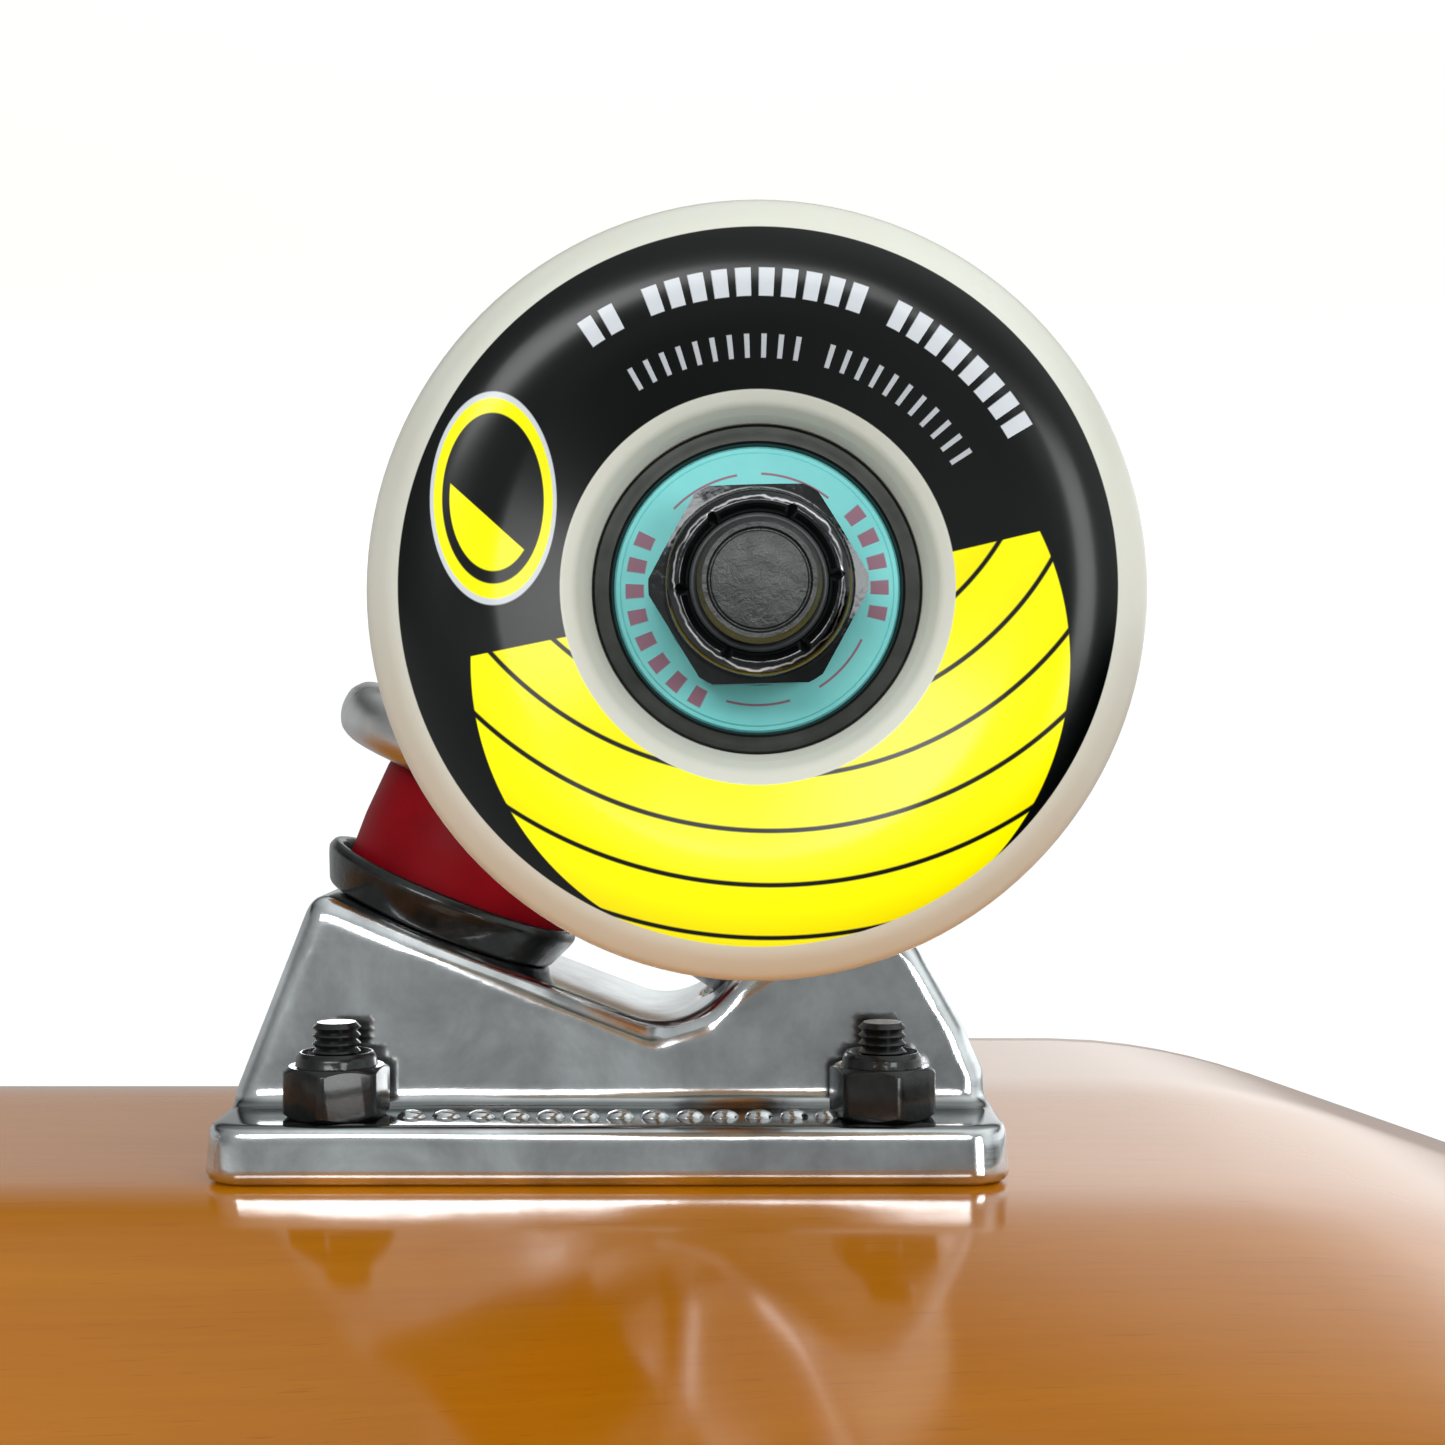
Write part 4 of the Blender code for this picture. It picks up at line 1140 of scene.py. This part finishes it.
def deck_normal(x, y):
    """The underside's upward normal, from the rise on each side of a point."""
    step = 1.5 * MM
    slope_x = (deck_rise(x + step, y) - deck_rise(x - step, y)) / (2 * step)
    slope_y = (deck_rise(x, y + step) - deck_rise(x, y - step)) / (2 * step)
    return Vector((-slope_x, -slope_y, 1)).normalized()


def slab_mesh(lift, thickness, inset, rail, cuts, slot_at):
    """A sheet on the deck's form: thickness above the lifted underside, its rim rounded by the rail radius.

    cuts are the heights in the thickness where the rim is divided; slot_at gives a height's material.
    """
    columns = 120
    rows = 32
    bm = bmesh.new()

    def plan(i, j):
        return deck_place(2 * i / columns - 1, 2 * j / rows - 1, inset + rail)

    def surface(i, j, height, out=0.0, edge=None):
        x, y = plan(i, j)
        normal = deck_normal(x, y)
        spot = Vector((BOARD_CENTRE_X + x, y, DECK_UNDERSIDE + deck_rise(x, y))) + normal * (lift + height)
        if edge is not None:
            outward = (edge - normal * edge.dot(normal)).normalized()
            spot += outward * out
        return spot

    def grid(height, slot):
        verts = []
        for i in range(columns + 1):
            verts.append([bm.verts.new(surface(i, j, height)) for j in range(rows + 1)])
        for i in range(columns):
            for j in range(rows):
                face = bm.faces.new((verts[i][j], verts[i + 1][j], verts[i + 1][j + 1], verts[i][j + 1]))
                face.material_index = slot
        return verts

    bottom = grid(0, slot_at(0))
    top = grid(thickness, slot_at(thickness))
    walk = [(i, 0) for i in range(columns)] + [(columns, j) for j in range(rows)]
    walk += [(i, rows) for i in range(columns, 0, -1)] + [(0, j) for j in range(rows, 0, -1)]
    places = [Vector((*plan(i, j), 0)) for i, j in walk]
    edges = []
    for index in range(len(walk)):
        tangent = places[(index + 1) % len(walk)] - places[index - 1]
        edges.append(Vector((tangent.y, -tangent.x, 0)).normalized())
    bends = [rail * (1 - math.cos(k * math.pi / 8)) for k in range(1, 5)]
    upper_bends = [thickness - bend for bend in bends]
    heights = sorted({round(height, 7) for height in (*cuts, *bends, *upper_bends)})
    heights = [height for height in heights if 0.02 * MM < height < thickness - 0.02 * MM]
    rings = [[bottom[i][j] for i, j in walk]]
    for height in heights:
        near = min(height, thickness - height)
        out = rail if near >= rail else math.sqrt(rail * rail - (rail - near) ** 2)
        rings.append([bm.verts.new(surface(i, j, height, out, edge)) for (i, j), edge in zip(walk, edges)])
    rings.append([top[i][j] for i, j in walk])
    levels = [0, *heights, thickness]
    for level, (lower, upper) in enumerate(zip(rings, rings[1:])):
        slot = slot_at((levels[level] + levels[level + 1]) / 2)
        for index in range(len(walk)):
            after = (index + 1) % len(walk)
            face = bm.faces.new((lower[index], lower[after], upper[after], upper[index]))
            face.material_index = slot
    return mesh_of(bm)


def bolt_matrices():
    """Each mounting bolt's node number and frame on the deck's underside."""
    for truck in ("front", "rear"):
        for number, (x, y) in enumerate(hole_places(), 1):
            yield truck, number, truck_frame(truck) @ Matrix.Translation((x, y, 0))


def head_room(top):
    """What a bolt and its countersunk head take out of the deck and its grip."""
    profile = [
        (0, top + 4 * MM),
        (4.85 * MM, top + 4 * MM),
        (4.85 * MM, top - 0.3 * MM),
        (2.5 * MM, top - 2.9 * MM),
        (2.5 * MM, -4 * MM),
        (0, -4 * MM),
    ]
    return turned(profile, 40)


def build_deck(paints):
    """The seven-ply board and its grip tape, both drilled for the bolts."""
    ply = DECK_THICKNESS / PLIES
    order = ["amber_ply", "maple", "cross_ply", "maple", "cross_ply", "maple", "maple"]
    names = ["stained", "amber_ply", "maple", "cross_ply"]

    def slot_at(height):
        if height == 0:
            return 0
        return names.index(order[min(int(height / ply), PLIES - 1)])

    cuts = [ply * k for k in range(1, PLIES)]
    deck = slab_mesh(0, DECK_THICKNESS, 0, RAIL_RADIUS, cuts, slot_at)
    grip = slab_mesh(DECK_THICKNESS, GRIP_THICKNESS, GRIP_INSET, GRIP_RAIL, [], lambda height: 0)
    top = DECK_THICKNESS + GRIP_THICKNESS
    for mesh, drawn in ((deck, [paints[name] for name in names]), (grip, [paints["grip"]])):
        for paint in drawn:
            mesh.materials.append(paint)
    deck = combined(deck, *(("DIFFERENCE", head_room(top), matrix) for _, _, matrix in bolt_matrices()))
    grip = combined(grip, *(("DIFFERENCE", head_room(top), matrix) for _, _, matrix in bolt_matrices()))
    add("deck_board", smooth(deck, 50), Matrix.Identity(4), "board", [], ["deck"])
    add("grip_sheet", smooth(grip, 50), Matrix.Identity(4), "board", [], ["grip_tape"])


def build_hardware(paints):
    """The eight mounting bolts and their nuts, each nut tightened to its own angle."""
    bolt = mounting_bolt_mesh()
    nut = lock_nut_mesh(
        flats=9.5 * MM, hex_height=5.0 * MM, height=6.4 * MM,
        crown=4.15 * MM, insert=3.0 * MM, bore=2.3 * MM,
    )
    black = [paints["black"]]
    for truck, number, matrix in bolt_matrices():
        add(f"{truck}_bolt_{number}", bolt, matrix, "board", black,
            [f"{truck}_mounting_bolt_{number}"])
        seat = matrix @ Matrix.Translation((0, 0, -PLATE_DROP)) @ turn_x(math.pi)
        seat = seat @ Matrix.Rotation(math.radians(11 * number), 4, "Z")
        add(f"{truck}_nut_{number}", nut, seat, "board", black,
            [f"{truck}_mounting_nut_{number}"])


# Trucks

def truck_frame(truck):
    """A truck's frame: at its baseplate's centre on the deck's underside, +X outboard."""
    outboard = JOINTS[f"{truck}_steering"]["axis"][0] > 0
    place = Matrix.Translation((PLATE_X if outboard else REAR_PLATE_X, 0, DECK_UNDERSIDE))
    return place if outboard else place @ Matrix.Rotation(math.pi, 4, "Z")


def build_steering_stack(truck, matrix, paints, parts):
    """Everything on the kingpin, from the tower to the nut."""
    kingpin = matrix @ along(KINGPIN_AXIS)

    def at(distance):
        return kingpin @ Matrix.Translation((0, 0, distance))

    seat = matrix @ along(KINGPIN_AXIS, RING + RING_SHIFT * 0.4) @ Matrix.Translation((0, 0, TOWER_TOP))
    top_seat = at(TOP_WASHER_SEAT)
    for name, part, place, paint, nodes in (
        ("kingpin_bolt", "kingpin", kingpin, "black", ["kingpin"]),
        ("lower_cup", "bottom_washer", seat, "black", ["bottom_washer"]),
        ("upper_cup", "top_washer", top_seat @ turn_x(math.pi), "black", ["top_washer"]),
        ("kingpin_lock_nut", "kingpin_nut", top_seat, "black", ["kingpin_nut"]),
        ("kingpin_nylon", "kingpin_insert", top_seat, "nylon", []),
    ):
        add(f"{truck}_{name}", parts[part], place, "board", [paints[paint]],
            [f"{truck}_{node}" for node in nodes])
    for name, low, high in (
        ("bottom_bushing", BUSHING_BOTTOM, RING_FLOOR),
        ("top_bushing", RING_HALF_THICKNESS, BUSHING_TOP),
    ):
        obj = bpy.data.objects.new(f"{truck}_{name}_urethane", parts[name].copy())
        bpy.context.scene.collection.objects.link(obj)
        obj.matrix_world = at(low)
        obj.data.materials.append(paints["red"])
        ends = [at(low).translation, at(high).translation]
        if name == "top_bushing":
            ends.reverse()
        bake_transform(obj)
        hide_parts(f"{truck}_{name}")


def build_wheel_end(truck, end, matrix, paints, parts):
    """A wheel with its bearings, and what clamps it on the axle's end at the truck's +Y or -Y."""
    outward = matrix.to_3x3() @ Vector((0, end, 0))
    hand = "left" if outward.y > 0 else "right"
    name = f"{truck}_{hand}"
    centre = matrix @ Matrix.Translation(AXLE + Vector((0, end * WHEEL_Y, 0))) @ turn_x(-end * RIGHT_ANGLE)
    spun = centre @ Matrix.Rotation(math.radians(WHEEL_TURNS[name]), 4, "Z")
    wheel = f"{name}_wheel"
    add(f"{name}_tyre", parts["wheel"], spun, wheel, [paints["urethane"]], [wheel])
    for side, label in ((1, "outer"), (-1, "inner")):
        spot = spun @ Matrix.Translation((0, 0, side * BEARING_OFFSET))
        if side < 0:
            spot = spot @ turn_x(math.pi)
        add(f"{name}_{label}_race", parts["bearing"], spot, wheel,
            [paints["race"], paints["shield"]], [f"{name}_{label}_bearing"])
    axle_body = f"{truck}_truck"
    add(f"{name}_spacers", parts["stack"], centre, axle_body, [paints["race"]],
        [f"{name}_spacer_stack"])
    nut_turn = Matrix.Rotation(math.radians(1.5), 4, "Z")
    seat = centre @ Matrix.Translation((0, 0, STACK_HALF_LENGTH)) @ nut_turn
    add(f"{name}_lock_nut", parts["axle_nut"], seat, axle_body, [paints["nut"]],
        [f"{name}_axle_nut"])
    add(f"{name}_nylon", parts["axle_insert"], seat, axle_body, [paints["nylon"]])


def build_truck(truck, paints, parts):
    """One truck on the board: its castings, bead rows and axle, then its steering stack and wheels."""
    matrix = truck_frame(truck)
    hanger_body = f"{truck}_truck"
    polished = [paints["polished"]]
    add(f"{truck}_base_casting", parts["baseplate"], matrix, "board", polished,
        [f"{truck}_baseplate"])
    for side, row in ((-1, "far"), (1, "near")):
        for k in range(BEADS):
            along_row = BEAD_PITCH * (k - BEADS // 2) + BEAD_ROW_START
            spot = Matrix.Translation((along_row, side * BEAD_ROW_Y, -PLATE_DROP)) @ turn_x(math.pi)
            add(f"{truck}_bead_{row}_{k + 1}", parts["bead"], matrix @ spot, "board",
                polished)
    add(f"{truck}_pivot_seat", parts["cup"], matrix @ along(PIVOT_AXIS), "board",
        [paints["cup"]], [f"{truck}_pivot_cup"])
    add(f"{truck}_hanger_casting", parts["hanger"], matrix, hanger_body, [paints["cast"]],
        [f"{truck}_hanger"])
    axle_place = matrix @ Matrix.Translation(AXLE) @ turn_x(RIGHT_ANGLE)
    add(f"{truck}_axle_bar", parts["axle"], axle_place, hanger_body, [paints["axle"]],
        [f"{truck}_axle"])
    build_steering_stack(truck, matrix, paints, parts)
    for end in (-1, 1):
        build_wheel_end(truck, end, matrix, paints, parts)


def build_trucks(paints):
    """Both trucks, from one set of meshes."""
    parts = {
        "kingpin": kingpin_mesh(),
        "bottom_washer": washer_mesh(14.2 * MM, 2.8 * MM),
        "top_washer": washer_mesh(11.0 * MM, 1.0 * MM),
        "kingpin_nut": lock_nut_mesh(
            flats=14.3 * MM, hex_height=6.4 * MM, height=8.2 * MM,
            crown=6.3 * MM, insert=5.4 * MM, bore=4.6 * MM,
        ),
        "kingpin_insert": insert_mesh(5.45 * MM, 4.6 * MM, 7.7 * MM),
        "bottom_bushing": bushing_mesh(12.1 * MM, 11.9 * MM, 13.5 * MM),
        "top_bushing": bushing_mesh(11.3 * MM, 9.2 * MM, 11.7 * MM),
        "wheel": wheel_mesh(),
        "bearing": bearing_mesh(),
        "stack": stack_mesh(),
        "axle_nut": lock_nut_mesh(
            flats=12.8 * MM, hex_height=5.0 * MM, height=7.1 * MM,
            crown=6.2 * MM, insert=4.4 * MM, bore=3.9 * MM, notches=6,
        ),
        "axle_insert": insert_mesh(4.45 * MM, 3.9 * MM, 6.6 * MM),
        "baseplate": baseplate_mesh(),
        "hanger": hanger_mesh(),
        "cup": cup_mesh(),
        "axle": axle_mesh(),
        "bead": bead_mesh(),
    }
    for truck in ("front", "rear"):
        build_truck(truck, paints, parts)


# Studio

def build_studio(paints):
    """A floor that only the camera sees, the sky, and the lights."""
    bm = bmesh.new()
    bmesh.ops.create_grid(bm, x_segments=2, y_segments=2, size=6)
    floor = bpy.data.objects.new("floor", mesh_of(bm))
    bpy.context.scene.collection.objects.link(floor)
    floor.data.materials.append(paints["floor"])
    floor.location.z = -FLOOR_DROP
    floor.visible_shadow = False
    floor.visible_glossy = False
    floor.visible_diffuse = False
    sky()
    wheel = Vector((PLATE_X + AXLE.x, WHEEL_Y, DECK_UNDERSIDE + AXLE.z))
    window(wheel, "window_left", azimuth=-15.5, elevation=22, width=0.60, height=0.36, level=8.5)
    window(wheel, "window_middle", azimuth=6.4, elevation=20, width=0.22, height=0.32, level=7.0)
    window(wheel, "window_right", azimuth=31, elevation=6, width=0.40, height=0.50, level=7.5)
    area_light("light_over", (0.1, -0.2, 1.7), (0, 0, 0), width=1.6, height=1.6, level=0.8)
    # The amber light that the deck's stain throws on the wheel
    glow_place = Vector((wheel.x, wheel.y + 22 * MM, DECK_UNDERSIDE - 3 * MM))
    below = glow_place - Vector((0, 0, 1))
    glow = area_light("deck_glow", glow_place, below, width=0.16, height=0.05, level=0.36)
    glow.data.color = (1.0, 0.42, 0.0)
    glow.visible_glossy = False


def sky():
    """Soft light from all round: bright below, where the underside faces, and dim at the horizon."""
    world = bpy.data.worlds.new("studio")
    bpy.context.scene.world = world
    world.use_nodes = True
    tree = world.node_tree
    background = tree.nodes["Background"]
    coordinates = tree.nodes.new("ShaderNodeTexCoord")
    split = tree.nodes.new("ShaderNodeSeparateXYZ")
    tree.links.new(coordinates.outputs["Generated"], split.inputs[0])
    x, y, z = (Field(tree, output) for output in split.outputs)
    down = z * -1
    far = y.below(0, 0.5)
    high = down.above(0.58, 0.4)
    far_level = (x.above(0.03, 0.45) * 0.66 + 0.38) * (((down * -7 + 2.95) & 1.3) | 0.02)
    near_level = down.above(0.2, 0.5) * 0.12 + x.above(0.62, 0.3) * 0.9 + (x * -0.35 + 0.25)
    near_level = near_level * (x.above(-0.75, 0.5) * 0.7 + 0.3)
    level = far * far_level + ~far * near_level
    level = level * ~high + high * (x * 0.65 + 0.78)
    above = far * 0.42 + ~far * (x * -0.5 + 0.3)
    level = level * z.below(0.04, 0.1) + z.above(0.04, 0.1) * above
    seen = Field(tree, tree.nodes.new("ShaderNodeLightPath").outputs["Is Camera Ray"])
    plug(tree, level * ~seen + seen * BACKDROP, background.inputs["Strength"])
    background.inputs["Color"].default_value = (0.97, 1.0, 1.0, 1)


def window(target, name, azimuth, elevation, width, height, level):
    """A bright pane on the camera's side, this many degrees below the wheel's height, turned to it."""
    side = math.radians(azimuth)
    fall = math.radians(elevation)
    away = Vector((math.sin(side) * math.cos(fall), math.cos(side) * math.cos(fall), -math.sin(fall)))
    area_light(name, target + away * WINDOW_DISTANCE, target, width, height, level)


def area_light(name, place, target, width, height, level):
    """A rectangular light of this brightness, seen in reflections but not by the camera."""
    light = bpy.data.lights.new(name, "AREA")
    light.shape = "RECTANGLE"
    light.size = width
    light.size_y = height
    light.energy = level * math.pi * width * height
    obj = bpy.data.objects.new(name, light)
    obj.location = place
    obj.rotation_euler = (Vector(target) - Vector(place)).to_track_quat("-Z", "Y").to_euler()
    obj.visible_camera = False
    bpy.context.scene.collection.objects.link(obj)
    return obj


def build_camera():
    """Level with the wheels at the board's left, close to the nose truck, and upside down."""
    camera = bpy.data.cameras.new("camera")
    camera.lens = 55
    camera.sensor_width = 36
    camera.clip_start = 0.01
    obj = bpy.data.objects.new("camera", camera)
    bpy.context.scene.collection.objects.link(obj)
    axle_x = PLATE_X + AXLE.x
    axle_z = DECK_UNDERSIDE + AXLE.z
    place = Vector((axle_x - 2.32 * MM, WHEEL_Y + CAMERA_DISTANCE, axle_z + 8.91 * MM))
    obj.matrix_world = Matrix((
        (1, 0, 0, place.x),
        (0, 0, 1, place.y),
        (0, -1, 0, place.z),
        (0, 0, 0, 1),
    ))
    bpy.context.scene.camera = obj


paints = make_paints()
build_deck(paints)
build_hardware(paints)
build_trucks(paints)
build_studio(paints)
build_camera()
bpy.context.scene.view_settings.view_transform = "Standard"
